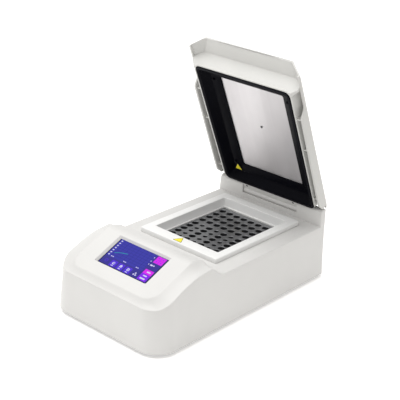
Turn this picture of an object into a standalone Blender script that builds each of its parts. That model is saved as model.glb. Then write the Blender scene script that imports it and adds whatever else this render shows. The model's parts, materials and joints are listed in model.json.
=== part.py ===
"""Dry block heater: a bench-top heater for sample tubes, with a hinged heated lid.

Metres, +Z up. X runs across the object, +Y runs from its front (touch screen) to its back (hinge),
and the feet stand on Z = 0. The lid is modelled closed, round its hinge axis, and then turned open.
"""

import math

import bmesh
import bpy
from mathutils import Matrix, Vector

# ---------------------------------------------------------------- driving dimensions

GAP = 0.0003                 # air between pieces that touch
FOOT_H = 0.005               # height of the feet below the casing

# casing
BASE_W = 0.213
BASE_D = 0.375
FRONT_R = 0.0345             # plan radius of the two front corners
BACK_R = 0.0085              # plan radius of the two back corners
SIDE_DRAFT = 0.056           # sideways lean of the side walls, per metre of height
FRONT_DRAFT = 0.041          # backward lean of the front wall, per metre of height
WALL = 0.003

# heights above the casing's lower edge
RIM_H = 0.0645               # front rim
RIDGE_H = 0.0965             # top of the ridge behind the control panel
DECK_H = 0.0813              # deck round the block
BAR_H = 0.1080               # hinge bar at the back

# lengths from the casing's front edge
RIDGE_Y = 0.113
DECK_Y = 0.140               # where the ridge's back slope runs out into the deck
BAR_Y = 0.361
BAR_R = 0.0055               # rounded upper edges of the hinge bar

# control panel, a raised pad on the sloping front
PANEL_HALF_W = 0.083
PANEL_FRONT_Y = 0.0128
PANEL_FRONT_H = 0.0732
PANEL_TILT = math.radians(23.2)
PANEL_TOP_H = 0.1007         # at the ridge
PANEL_FALL = -0.15           # slope of the face where it meets the ridge
PANEL_CORNER_R = 0.020
PANEL_SKIRT = 0.0100         # width of the sloping sides of the pad, down to their sunk feet
PANEL_SINK = 0.0024          # how far the pad's feet are sunk into the casing's top
SCREEN_W = 0.0935
SCREEN_H = 0.0520
SCREEN_MID_Y = 0.0577
SCREEN_DEPTH = 0.0032        # depth of the window below the panel's face
SCREEN_BEVEL = 0.0030        # width of the sloping frame round the window

# heating block and its collar
BLOCK_W = 0.115
BLOCK_L = 0.1485
BLOCK_H = 0.042
BLOCK_MID_Y = 0.2466
BLOCK_SINK = 0.0083          # depth of the block's top below the deck
SIDE_METAL = 0.0010          # least metal between a well and the block's side
COLUMN_PITCH = 0.0143
LARGE_R = 0.0053
SMALL_R = 0.0036
REAR_ROWS = 4
REAR_PITCH = 0.0158
FRONT_ROWS = 6
FRONT_PITCH = 0.0129
ROW_MARGIN = 0.0116          # from the block's back face to the last row
ZONE_STEP = 0.0172           # from the rear zone's first row to the front zone's last row
WELL_CYL = 0.020             # straight part of a large well
WELL_CONE = 0.016            # tapered part of a large well
SMALL_DEPTH = 0.028
RIM_SIDE = 0.0134            # width of the collar's rim beside its opening
RIM_FRONT = 0.0193
RIM_BACK = 0.0162
COLLAR_H = 0.0072            # height of the collar above the deck
MOUTH_SIDE = 0.0036          # from the block's side to the opening at the collar's top
MOUTH_FRONT = 0.00465
MOUTH_BACK = 0.00455
SLEEVE_SIDE = 0.0008         # from the block's side to the sleeve's narrow lower end
SLEEVE_FRONT = 0.00185
SLEEVE_BACK = 0.00175
SLEEVE_WALL = 0.0022
SLEEVE_DROP = 0.0030         # how far the sleeve goes down past the block's top

# hinge
HINGE_Y = 0.369
HINGE_H = 0.0937             # above the casing's lower edge
BARREL_R = 0.006
TONGUE_HALF_W = 0.0535
TONGUE_SIDE_GAP = 0.0006
PIN_R = 0.002
PIN_L = 0.020
LID_ANGLE = math.radians(66.0)   # opening angle of the lid as modelled

# lid, closed: lengths run forward from the back edge of its black frame, heights up from its mouth
LID_BACK_TO_HINGE = 0.0155
MOUTH_BELOW_HINGE = 0.0037
FRAME_HALF_W = 0.0884
FRAME_L = 0.2225
FRAME_R = 0.009
FRAME_DEPTH = 0.0168         # from the mouth to the lid plate
FRAME_BACK = 0.0016          # sheet left behind the frame's deepest ledge
PLATE_SIDE = 0.0294          # frame's width beside the plate
PLATE_END = 0.0251           # frame's width before and behind the plate
SHELL_HALF_W = 0.1025
SHELL_LEAN = 0.0012          # how much the skirts lean inward
SHELL_WALL = 0.0025
SKIRT_H = 0.016
CROWN_HALF_W = 0.0777
CROWN_H = 0.0290
TOP_H = 0.0308
SHELL_BACK = 0.0026          # shell behind the frame's back edge
REAR_CLEAR_H = 0.013         # the shell's back wall starts above this height
BRIM_L = 0.2556
BRIM_CORNER_BACK = 0.0086    # how far the brim's corners sit behind its front edge
SKIRT_FRONT = 0.178          # the deep part of the skirts ends here
NOTCH_H = 0.0115             # height of the finger notch in front of it
LINER_WALL = 0.0022
PLATE_T = 0.002
MAT_T = 0.0012
LID_WOOL_T = 0.0040

# rear panel and what it carries
REAR_W = 0.170
REAR_Z0 = 0.012
REAR_H = 0.064
REAR_T = 0.002
FAN_X = 0.048
FAN_SIZE = 0.050
FAN_T = 0.015
INLET_X = -0.052
INLET_W = 0.0275
INLET_H = 0.0200
SWITCH_W = 0.0210
SWITCH_H = 0.0150
FUSE_H = 0.0085
ROCKER_TILT = math.radians(9.0)

# ---------------------------------------------------------------- levels worked out from these

Z_BASE = FOOT_H
Z_DECK = FOOT_H + DECK_H
Z_BLOCK = Z_DECK - BLOCK_SINK
Z_HINGE = FOOT_H + HINGE_H
BLOCK_Y0 = BLOCK_MID_Y - BLOCK_L / 2
BLOCK_Y1 = BLOCK_MID_Y + BLOCK_L / 2
WELL_COLUMNS = int((BLOCK_W - 2 * (LARGE_R + SIDE_METAL)) / COLUMN_PITCH) + 1
MOUTH_W = BLOCK_W + 2 * MOUTH_SIDE
MOUTH_Y0 = BLOCK_Y0 - MOUTH_FRONT
MOUTH_Y1 = BLOCK_Y1 + MOUTH_BACK
COLLAR_W = MOUTH_W + 2 * RIM_SIDE
COLLAR_Y0 = MOUTH_Y0 - RIM_FRONT
COLLAR_Y1 = MOUTH_Y1 + RIM_BACK
PLATE_Z0 = Z_BASE + GAP
PLATE_Z1 = PLATE_Z0 + 0.002

# ---------------------------------------------------------------- scene, collections, materials

for old in list(bpy.data.objects):
    bpy.data.objects.remove(old, do_unlink=True)

PARTS = bpy.data.collections.new("dry_block_heater")
CUTTERS = bpy.data.collections.new("cutters")
for group in (PARTS, CUTTERS):
    bpy.context.scene.collection.children.link(group)


def material(name, color, roughness, metallic=0.0):
    """A Principled material with one colour."""
    mat = bpy.data.materials.new(name)
    mat.use_nodes = True
    shader = mat.node_tree.nodes["Principled BSDF"]
    shader.inputs["Base Color"].default_value = (*color, 1.0)
    shader.inputs["Roughness"].default_value = roughness
    shader.inputs["Metallic"].default_value = metallic
    mat.diffuse_color = (*color, 1.0)
    return mat


WHITE = (0.86, 0.86, 0.84)
BLACK = (0.012, 0.012, 0.016)
STEEL = (0.62, 0.62, 0.63)
BOARD = (0.02, 0.16, 0.08)

# ---------------------------------------------------------------- shape helpers


def empty(name, location, parent=None):
    """A plain frame to hang pieces on."""
    node = bpy.data.objects.new(name, None)
    node.location = location
    node.parent = parent
    PARTS.objects.link(node)
    return node


def place(name, bm, group, parent):
    """Turns a bmesh into an object of the given collection."""
    bmesh.ops.recalc_face_normals(bm, faces=bm.faces)
    mesh = bpy.data.meshes.new(name)
    bm.to_mesh(mesh)
    bm.free()
    obj = bpy.data.objects.new(name, mesh)
    obj.parent = parent
    group.objects.link(obj)
    return obj


def part(name, bm, color, roughness=0.5, metallic=0.0, parent=None):
    """A named piece of the object with its own material."""
    obj = place(name, bm, PARTS, parent)
    obj.data.materials.append(material(name, color, roughness, metallic))
    return obj


def combine(obj, operation, bm, parent=None):
    """Cuts, adds or keeps the shape in bm with an exact Boolean."""
    tool = place(f"{obj.name}_{operation.lower()}", bm, CUTTERS, parent)
    tool.hide_render = True
    tool.display_type = "WIRE"
    modifier = obj.modifiers.new(tool.name, "BOOLEAN")
    modifier.operation = operation
    modifier.solver = "EXACT"
    modifier.object = tool
    return tool


def box(x0, x1, y0, y1, z0, z1, bm=None):
    """A block between two corners, in a new bmesh or added to bm."""
    bm = bm or bmesh.new()
    size = Matrix.Diagonal((x1 - x0, y1 - y0, z1 - z0, 1.0))
    middle = Matrix.Translation(((x0 + x1) / 2, (y0 + y1) / 2, (z0 + z1) / 2))
    bmesh.ops.create_cube(bm, size=1.0, matrix=middle @ size)
    return bm


AXES = {
    "X": Matrix.Rotation(math.radians(90.0), 4, "Y"),
    "Y": Matrix.Rotation(math.radians(-90.0), 4, "X"),
    "Z": Matrix.Identity(4),
}


def rod(start, length, radius, axis="Z", sides=16, bm=None, tip=None):
    """A cylinder that starts at a point and runs along an axis; tip is a second radius."""
    bm = bm or bmesh.new()
    middle = Matrix.Translation(start) @ AXES[axis] @ Matrix.Translation((0, 0, length / 2))
    end = radius if tip is None else tip
    bmesh.ops.create_cone(
        bm, cap_ends=True, segments=sides, radius1=radius, radius2=end, depth=length, matrix=middle
    )
    return bm


def rounded_outline(half_w, y0, y1, radius, steps=4):
    """Plan outline of a rectangle with round corners, counter-clockwise from above."""
    points = []
    corners = (
        (half_w - radius, y0 + radius, -90.0),
        (half_w - radius, y1 - radius, 0.0),
        (-half_w + radius, y1 - radius, 90.0),
        (-half_w + radius, y0 + radius, 180.0),
    )
    for cx, cy, start in corners:
        for i in range(steps + 1):
            angle = math.radians(start + 90.0 * i / steps)
            points.append((cx + radius * math.cos(angle), cy + radius * math.sin(angle)))
    return points


def loft(rings, bm=None):
    """Closed solid through rings of 3-D points, each with as many points as the next."""
    bm = bm or bmesh.new()
    rows = [[bm.verts.new(point) for point in ring] for ring in rings]
    for low, high in zip(rows, rows[1:]):
        for i in range(len(low)):
            j = (i + 1) % len(low)
            bm.faces.new((low[i], low[j], high[j], high[i]))
    bm.faces.new(rows[0])
    bm.faces.new(rows[-1])
    return bm


def stack(levels, steps=4, bm=None):
    """Loft of rounded rectangles given as (half width, y0, y1, corner radius, z)."""
    rings = []
    for half_w, y0, y1, radius, z in levels:
        rings.append([(x, y, z) for x, y in rounded_outline(half_w, y0, y1, radius, steps)])
    return loft(rings, bm)


def extrude_x(outline, x0, x1, bm=None):
    """A Y-Z outline stretched along X."""
    return loft([[(x, y, z) for y, z in outline] for x in (x0, x1)], bm)


def half_loft(lower, upper):
    """Mirrored solid between two right-hand edge lines, whose heights change only along Y."""
    bm = bmesh.new()
    edges = []
    for line in (lower, upper):
        right = [bm.verts.new(point) for point in line]
        left = [bm.verts.new((-x, y, z)) for x, y, z in line]
        edges.append((right, left))
    (low_r, low_l), (up_r, up_l) = edges
    for i in range(len(lower) - 1):
        j = i + 1
        bm.faces.new((low_r[i], low_r[j], up_r[j], up_r[i]))
        bm.faces.new((low_l[j], low_l[i], up_l[i], up_l[j]))
        bm.faces.new((up_r[i], up_r[j], up_l[j], up_l[i]))
        bm.faces.new((low_r[j], low_r[i], low_l[i], low_l[j]))
    bm.faces.new((low_r[0], up_r[0], up_l[0], low_l[0]))
    bm.faces.new((low_r[-1], low_l[-1], up_l[-1], up_r[-1]))
    return bm


def smooth_line(points, steps):
    """Points on a Catmull-Rom curve through the given ones."""
    ends = [points[0]] + list(points) + [points[-1]]
    line = []
    for a, b, c, d in zip(ends, ends[1:], ends[2:], ends[3:]):
        for i in range(steps):
            t = i / steps
            line.append(tuple(
                0.5 * (2 * q + (r - p) * t + (2 * p - 5 * q + 4 * r - s) * t * t
                       + (3 * q - p - 3 * r + s) * t ** 3)
                for p, q, r, s in zip(a, b, c, d)
            ))
    return line + [tuple(points[-1])]


def height_at(line, y):
    """Height of a (y, z) line at y."""
    for (ya, za), (yb, zb) in zip(line, line[1:]):
        if ya <= y <= yb:
            return za + (zb - za) * (y - ya) / (yb - ya)
    return line[0][1] if y < line[0][0] else line[-1][1]


# ---------------------------------------------------------------- casing


def top_line(drop=0.0):
    """Side view of the casing's top, from the rim to the back, as (y, height above the lower edge)."""
    start = FRONT_DRAFT * RIM_H
    rise = [
        (start + drop, RIM_H - 0.3 * drop),
        (0.018, RIM_H + 0.0033 - drop),
        (0.040, RIM_H + 0.0150 - drop),
        (0.062, RIDGE_H - 0.0077 - drop),
        (0.085, RIDGE_H - 0.0019 - drop),
        (RIDGE_Y - drop, RIDGE_H - drop),
    ]
    slope = []
    foot = (DECK_Y - 0.0135, DECK_H)
    head = (RIDGE_Y + 0.005, RIDGE_H - 0.005)
    for i in range(7):
        t = i / 6
        slope.append(tuple(
            (1 - t) ** 2 * p + 2 * t * (1 - t) * q + t * t * r - shift
            for p, q, r, shift in zip(head, foot, (DECK_Y, DECK_H), (drop, drop))
        ))
    return smooth_line(rise, 3) + slope


def bar_line():
    """Side view of the hinge bar, with round upper edges."""
    back = BASE_D
    line = [(BAR_Y, DECK_H)]
    for cy, start in ((BAR_Y + BAR_R, 180.0), (back - BAR_R, 90.0)):
        for i in range(6):
            angle = math.radians(start - 90.0 * i / 5)
            line.append((cy + BAR_R * math.cos(angle), BAR_H - BAR_R + BAR_R * math.sin(angle)))
    return line


def casing_edges(inset, drop, bar, z_low):
    """Right-hand lower and upper edge lines of the casing, moved inward by inset."""
    half = BASE_W / 2 - inset
    front, back = inset, BASE_D - inset
    radius, back_radius = FRONT_R - inset, max(BACK_R - inset, 0.002)
    profile = top_line(drop)
    stations = [(y, h) for y, h in profile if y > front + radius + 0.0005]
    lower, upper = [], []

    def side(sin_t, y, h, lean):
        """One station: the same place on the lower edge and on the upper edge."""
        lower.append((half - radius + radius * sin_t, y, z_low))
        x = half - radius + radius * sin_t - SIDE_DRAFT * h
        upper.append((x, y + lean * FRONT_DRAFT * h, Z_BASE + h))

    steps = 9
    for i in range(steps + 1):
        angle = math.radians(90.0 * i / steps)
        y = front + radius * (1 - math.cos(angle))
        lean = 1.0 - i / steps
        side(math.sin(angle), y, height_at(profile, y + lean * FRONT_DRAFT * RIM_H), lean)
    for y, h in stations:
        side(1.0, y, h, 0.0)
    end_h = DECK_H - drop
    if bar:
        for i, (y, h) in enumerate(bar_line()):
            lean_back = 0.0006 if i == 0 else 0.0
            if y > back - back_radius - 0.00001:
                break
            side(1.0, y - lean_back, h, 0.0)
        end_h = BAR_H
    for i in range(5):
        angle = math.radians(90.0 * i / 4)
        y = back - back_radius + back_radius * math.sin(angle)
        x = half - back_radius + back_radius * math.cos(angle)
        h = end_h
        if bar and y > BASE_D - BAR_R:
            h = BAR_H - BAR_R + math.sqrt(max(BAR_R ** 2 - (y - BASE_D + BAR_R) ** 2, 1e-8))
        lower.append((x, y, z_low))
        upper.append((x - SIDE_DRAFT * h, y, Z_BASE + h))
    return lower, upper


def panel_line():
    """Side view of the control panel's face: straight past the screen, then over a low crest."""
    slope = math.tan(PANEL_TILT)
    crest_y = SCREEN_MID_Y + SCREEN_H / 2 * math.cos(PANEL_TILT) + SCREEN_BEVEL
    crest_h = PANEL_FRONT_H + (crest_y - PANEL_FRONT_Y) * slope
    span = RIDGE_Y - crest_y
    line = [(PANEL_FRONT_Y, PANEL_FRONT_H)]
    for i in range(7):
        t = i / 6
        ends = crest_h * (2 * t ** 3 - 3 * t * t + 1) + PANEL_TOP_H * (3 * t * t - 2 * t ** 3)
        lean = slope * (t ** 3 - 2 * t * t + t) + PANEL_FALL * (t ** 3 - t * t)
        line.append((crest_y + span * t, ends + span * lean))
    return line


def control_panel():
    """The raised pad: a face inside, and a wider foot sunk into the casing's top."""
    face, foot = panel_line(), top_line()
    radius = PANEL_CORNER_R
    lower, upper = [], []

    def station(x, y, y_foot):
        upper.append((x, y, Z_BASE + height_at(face, y)))
        lower.append((x + PANEL_SKIRT, y_foot, Z_BASE + height_at(foot, y_foot) - PANEL_SINK))

    for i in range(6):
        angle = math.radians(90.0 * i / 5)
        y = PANEL_FRONT_Y + radius * (1 - math.cos(angle))
        y_foot = y - PANEL_SKIRT * math.cos(angle)
        station(PANEL_HALF_W - radius * (1 - math.sin(angle)), y, y_foot)
    for y in sorted({y for y, _ in face + foot if PANEL_FRONT_Y + radius + 0.001 < y <= RIDGE_Y}):
        station(PANEL_HALF_W, y, y)
    lower[-1] = (PANEL_HALF_W + PANEL_SKIRT, RIDGE_Y + 0.0040, Z_BASE + RIDGE_H - 0.0062)
    return half_loft(lower, upper)


def panel_frame():
    """Matrix of the screen's middle on the panel's face: X across, Y up the slope, Z out of it."""
    height = Z_BASE + height_at(panel_line(), SCREEN_MID_Y)
    return Matrix.Translation((0, SCREEN_MID_Y, height)) @ Matrix.Rotation(PANEL_TILT, 4, "X")


def panel_block(levels):
    """A block set square to the panel, through levels of (half width, half height, z)."""
    rings = []
    for w, h, z in levels:
        rings.append([panel_frame() @ Vector(p) for p in
                      ((-w, -h, z), (w, -h, z), (w, h, z), (-w, h, z))])
    return loft(rings)


def barrel_cut():
    """Space that the lid's hinge barrel turns in, cut out of the bar."""
    half = TONGUE_HALF_W + TONGUE_SIDE_GAP
    radius = BARREL_R + 0.0006
    lip = 0.0040                 # the slot's lower edge below the hinge axis
    start = math.degrees(math.asin(lip / radius))
    outline = []
    for i in range(13):
        angle = math.radians(180.0 + start + (180.0 - start) * i / 12)
        outline.append((HINGE_Y + radius * math.cos(angle), Z_HINGE + radius * math.sin(angle)))
    top = Z_BASE + BAR_H + 0.01
    outline += [(BASE_D + 0.005, Z_HINGE), (BASE_D + 0.005, top)]
    outline += [(BAR_Y - 0.005, top), (BAR_Y - 0.005, Z_HINGE - lip)]
    return extrude_x(outline, -half, half)


def casing():
    """The moulded upper casing: walls, sloping front, ridge, deck and hinge bar in one piece."""
    lower, upper = casing_edges(0.0, 0.0, True, Z_BASE)
    shell = part("housing", half_loft(lower, upper), WHITE, 0.42)
    combine(shell, "UNION", control_panel())
    inner_low, inner_up = casing_edges(WALL, WALL, False, Z_BASE - 0.01)
    hollow = half_loft(inner_low, inner_up)
    combine(shell, "DIFFERENCE", hollow)
    half_w, half_h = SCREEN_W / 2, SCREEN_H / 2
    over = 0.001
    flare = SCREEN_BEVEL * (1 + over / SCREEN_DEPTH)
    combine(shell, "DIFFERENCE", panel_block([
        (half_w - 0.001, half_h - 0.001, -0.03), (half_w - 0.001, half_h - 0.001, -SCREEN_DEPTH),
        (half_w, half_h, -SCREEN_DEPTH + 0.0001), (half_w + flare, half_h + flare, over),
    ]))
    throat = box(-SLEEVE_HALF - GAP, SLEEVE_HALF + GAP, SLEEVE_Y0 - GAP, SLEEVE_Y1 + GAP,
                 Z_DECK - 0.01, Z_DECK + 0.01)
    combine(shell, "DIFFERENCE", throat)
    combine(shell, "DIFFERENCE", barrel_cut())
    back = box(-REAR_W / 2 - GAP, REAR_W / 2 + GAP, BASE_D - WALL - 0.004, BASE_D + 0.01,
               REAR_Z0 - GAP, REAR_Z0 + REAR_H + GAP)
    combine(shell, "DIFFERENCE", back)
    for side in (-1, 1):
        pin_start = (side * (TONGUE_HALF_W - 0.002) - (0 if side > 0 else PIN_L), HINGE_Y, Z_HINGE)
        combine(shell, "DIFFERENCE", rod(pin_start, PIN_L, PIN_R + GAP, "X", 12))
    return shell


SLEEVE_HALF = MOUTH_W / 2 + SLEEVE_WALL
SLEEVE_Y0 = MOUTH_Y0 - SLEEVE_WALL
SLEEVE_Y1 = MOUTH_Y1 + SLEEVE_WALL


def collar():
    """White collar round the block: a rim on the deck and a sleeve that goes down to the block."""
    rim_z, top_z = Z_DECK + GAP, Z_DECK + COLLAR_H
    half = COLLAR_W / 2
    edge = 0.0014
    obj = part("block_collar", stack([
        (half, COLLAR_Y0, COLLAR_Y1, 0.0030, rim_z),
        (half, COLLAR_Y0, COLLAR_Y1, 0.0030, top_z - edge),
        (half - edge, COLLAR_Y0 + edge, COLLAR_Y1 - edge, 0.0018, top_z),
    ]), WHITE, 0.45)
    low_z = Z_BLOCK - SLEEVE_DROP
    combine(obj, "UNION", box(-SLEEVE_HALF, SLEEVE_HALF, SLEEVE_Y0, SLEEVE_Y1, low_z, rim_z + 0.003))
    narrow = (BLOCK_W / 2 + SLEEVE_SIDE, BLOCK_Y0 - SLEEVE_FRONT, BLOCK_Y1 + SLEEVE_BACK, 0.0016)
    combine(obj, "DIFFERENCE", stack([
        (*narrow, low_z - 0.001),
        (*narrow, Z_BLOCK + 0.0012),
        (MOUTH_W / 2 - 0.0010, MOUTH_Y0 + 0.0010, MOUTH_Y1 - 0.0010, 0.0016, Z_BLOCK + 0.0014),
        (MOUTH_W / 2, MOUTH_Y0, MOUTH_Y1, 0.0020, top_z + 0.0001),
    ]))
    return obj


# ---------------------------------------------------------------- heating block


def well_rows():
    """Y of every row of wells, from the back: the rear zone's rows, then the front zone's."""
    last = BLOCK_Y1 - ROW_MARGIN
    rear = [last - i * REAR_PITCH for i in range(REAR_ROWS)]
    front = [rear[-1] - ZONE_STEP - i * FRONT_PITCH for i in range(FRONT_ROWS)]
    return rear, front


def column_x(index):
    return (index - (WELL_COLUMNS - 1) / 2) * COLUMN_PITCH


def well(bm, x, y, radius, straight, cone):
    """One blind well, open at the block's top."""
    over = 0.002
    sides = 12
    made = bmesh.ops.create_cone(
        bm, cap_ends=True, segments=sides, radius1=radius, radius2=radius, depth=straight + over,
        matrix=Matrix.Translation((x, y, Z_BLOCK + over - (straight + over) / 2)),
    )
    floor_z = min(v.co.z for v in made["verts"])
    floor = [f for f in {f for v in made["verts"] for f in v.link_faces}
             if len(f.verts) == sides and abs(f.calc_center_median().z - floor_z) < 1e-6]
    if cone:
        grown = bmesh.ops.extrude_face_region(bm, geom=floor)
        bmesh.ops.delete(bm, geom=floor, context="FACES_ONLY")
        for vert in [v for v in grown["geom"] if isinstance(v, bmesh.types.BMVert)]:
            vert.co.x = x + (vert.co.x - x) * 0.35
            vert.co.y = y + (vert.co.y - y) * 0.35
            vert.co.z -= cone


def heating_block():
    """Removable aluminium block with rows of tube wells."""
    obj = part("heating_block", stack([
        (BLOCK_W / 2, BLOCK_Y0, BLOCK_Y1, 0.0015, Z_BLOCK - BLOCK_H),
        (BLOCK_W / 2, BLOCK_Y0, BLOCK_Y1, 0.0015, Z_BLOCK),
    ], 2), (0.16, 0.16, 0.17), 0.4, 0.8)
    wells = bmesh.new()
    rear, front = well_rows()
    for column in range(WELL_COLUMNS):
        x = column_x(column)
        for y in rear:
            well(wells, x, y, LARGE_R, WELL_CYL, WELL_CONE)
        for y in front:
            if column % 2 == 0:
                well(wells, x, y, LARGE_R, WELL_CYL, WELL_CONE)
            else:
                well(wells, x, y, SMALL_R, SMALL_DEPTH, 0.0)
    combine(obj, "DIFFERENCE", wells)
    return obj


def block_base():
    """What the block stands on: heater plate, heater mat, insulating tray and temperature probe."""
    z = Z_BLOCK - BLOCK_H - GAP
    plate_t, tray_wall, tray_floor = 0.008, 0.006, 0.009
    half, y0, y1 = BLOCK_W / 2, BLOCK_Y0, BLOCK_Y1
    plate = part("heater_plate", box(-half, half, y0, y1, z - plate_t, z), STEEL, 0.35, 1.0)
    probe_r = 0.0016
    probe_z = z - plate_t / 2
    combine(plate, "DIFFERENCE", rod((0, y1 + 0.001, probe_z), 0.041, probe_r + GAP, "Y", 10))
    plate.modifiers[-1].object.location.y = -0.041
    part("temperature_probe", rod((0, y1 - 0.0385, probe_z), 0.046, probe_r, "Y", 10), STEEL, 0.3, 1.0)
    z -= plate_t + GAP
    part("heater_mat", box(-half + 0.003, half - 0.003, y0 + 0.003, y1 - 0.003, z - MAT_T, z),
         (0.55, 0.22, 0.05), 0.6)
    z -= MAT_T + GAP
    rim_z = Z_BLOCK - SLEEVE_DROP - 2 * GAP
    gap = 0.0008
    tray = part("block_insulation", box(-half - gap - tray_wall, half + gap + tray_wall,
                                        y0 - gap - tray_wall, y1 + gap + tray_wall,
                                        z - tray_floor, rim_z), (0.80, 0.78, 0.70), 0.9)
    combine(tray, "DIFFERENCE", box(-half - gap, half + gap, y0 - gap, y1 + gap, z, rim_z + 0.01))
    combine(tray, "DIFFERENCE",
            box(-probe_r - GAP, probe_r + GAP, y1, y1 + 0.02, probe_z - probe_r - GAP, rim_z + 0.01))
    return z - tray_floor


# ---------------------------------------------------------------- base plate, feet, electronics


def base_plate():
    """Steel floor of the casing, with air slots below the electronics."""
    inset = WALL + 0.0015
    lower, upper = casing_edges(inset, inset, False, PLATE_Z0)
    floor = [(x, y, PLATE_Z1) for x, y, _ in lower]
    obj = part("base_plate", half_loft(lower, floor), (0.55, 0.56, 0.57), 0.45, 0.9)
    slots = bmesh.new()
    for side in (-1, 1):
        for i in range(6):
            y = 0.060 + i * 0.010
            x = side * 0.048
            box(x - 0.016, x + 0.016, y, y + 0.003, PLATE_Z0 - 0.005, PLATE_Z1 + 0.005, slots)
    combine(obj, "DIFFERENCE", slots)
    return obj


def feet_and_screws():
    """Rubber feet and the screws that hold the base plate."""
    spots = [(x, y) for y in (0.045, BASE_D - 0.040) for x in (-0.075, 0.075)]
    for i, (x, y) in enumerate(spots, 1):
        foot = rod((x, y, 0), FOOT_H, 0.0085, "Z", 20, tip=0.010)
        part(f"foot_{i}", foot, (0.03, 0.03, 0.03), 0.85)
        inward = 0.018 if y < BASE_D / 2 else -0.018
        screw = rod((x, y + inward, PLATE_Z0 - GAP - 0.0016), 0.0016, 0.0028, "Z", 12)
        part(f"base_screw_{i}", screw, STEEL, 0.3, 1.0)


def display():
    """Touch window, display module and its board, under the control panel."""
    half_w, half_h = SCREEN_W / 2, SCREEN_H / 2
    z = -SCREEN_DEPTH
    window_t, module_t, board_t = 0.0011, 0.0032, 0.0016
    for name, w, h, thick, below, color, rough in (
        ("touch_window", half_w - 0.001 - GAP, half_h - 0.001 - GAP, window_t, GAP, (0.02, 0.03, 0.10), 0.12),
        ("display_module", half_w - 0.0015, half_h - 0.0015, module_t, 0.003, (0.10, 0.10, 0.11), 0.5),
        ("display_board", half_w - 0.002, half_h - 0.002, board_t, 0.0, BOARD, 0.5),
    ):
        part(name, panel_block([(w, h, z - thick), (w, h, z)]), color, rough)
        z -= thick + below


def electronics():
    """Main board on four posts, and the power supply beside it."""
    post_h, board_t = 0.008, 0.0016
    x0, x1, y0, y1 = -0.088, -0.004, 0.045, 0.150
    z0 = PLATE_Z1 + GAP
    for i, (x, y) in enumerate([(x, y) for y in (y0 + 0.005, y1 - 0.005)
                                for x in (x0 + 0.005, x1 - 0.005)], 1):
        part(f"board_post_{i}", rod((x, y, z0), post_h, 0.003, "Z", 6), (0.78, 0.62, 0.28), 0.35, 1.0)
    z1 = z0 + post_h + GAP
    board = part("main_board", box(x0, x1, y0, y1, z1, z1 + board_t), BOARD, 0.5)
    top = z1 + board_t - 0.0002
    chips = box(x0 + 0.010, x0 + 0.034, y0 + 0.015, y0 + 0.045, top, top + 0.016)
    box(x0 + 0.045, x0 + 0.060, y0 + 0.020, y0 + 0.035, top, top + 0.003, chips)
    box(x0 + 0.046, x0 + 0.074, y0 + 0.055, y0 + 0.061, top, top + 0.022, chips)
    rod((x0 + 0.020, y0 + 0.062, top), 0.018, 0.006, "Z", 12, chips)
    rod((x0 + 0.020, y0 + 0.080, top), 0.018, 0.006, "Z", 12, chips)
    combine(board, "UNION", chips)
    part("power_supply", box(0.004, 0.084, y0, y1, z0 + 0.001, z0 + 0.031), STEEL, 0.4, 1.0)


# ---------------------------------------------------------------- rear panel


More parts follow.
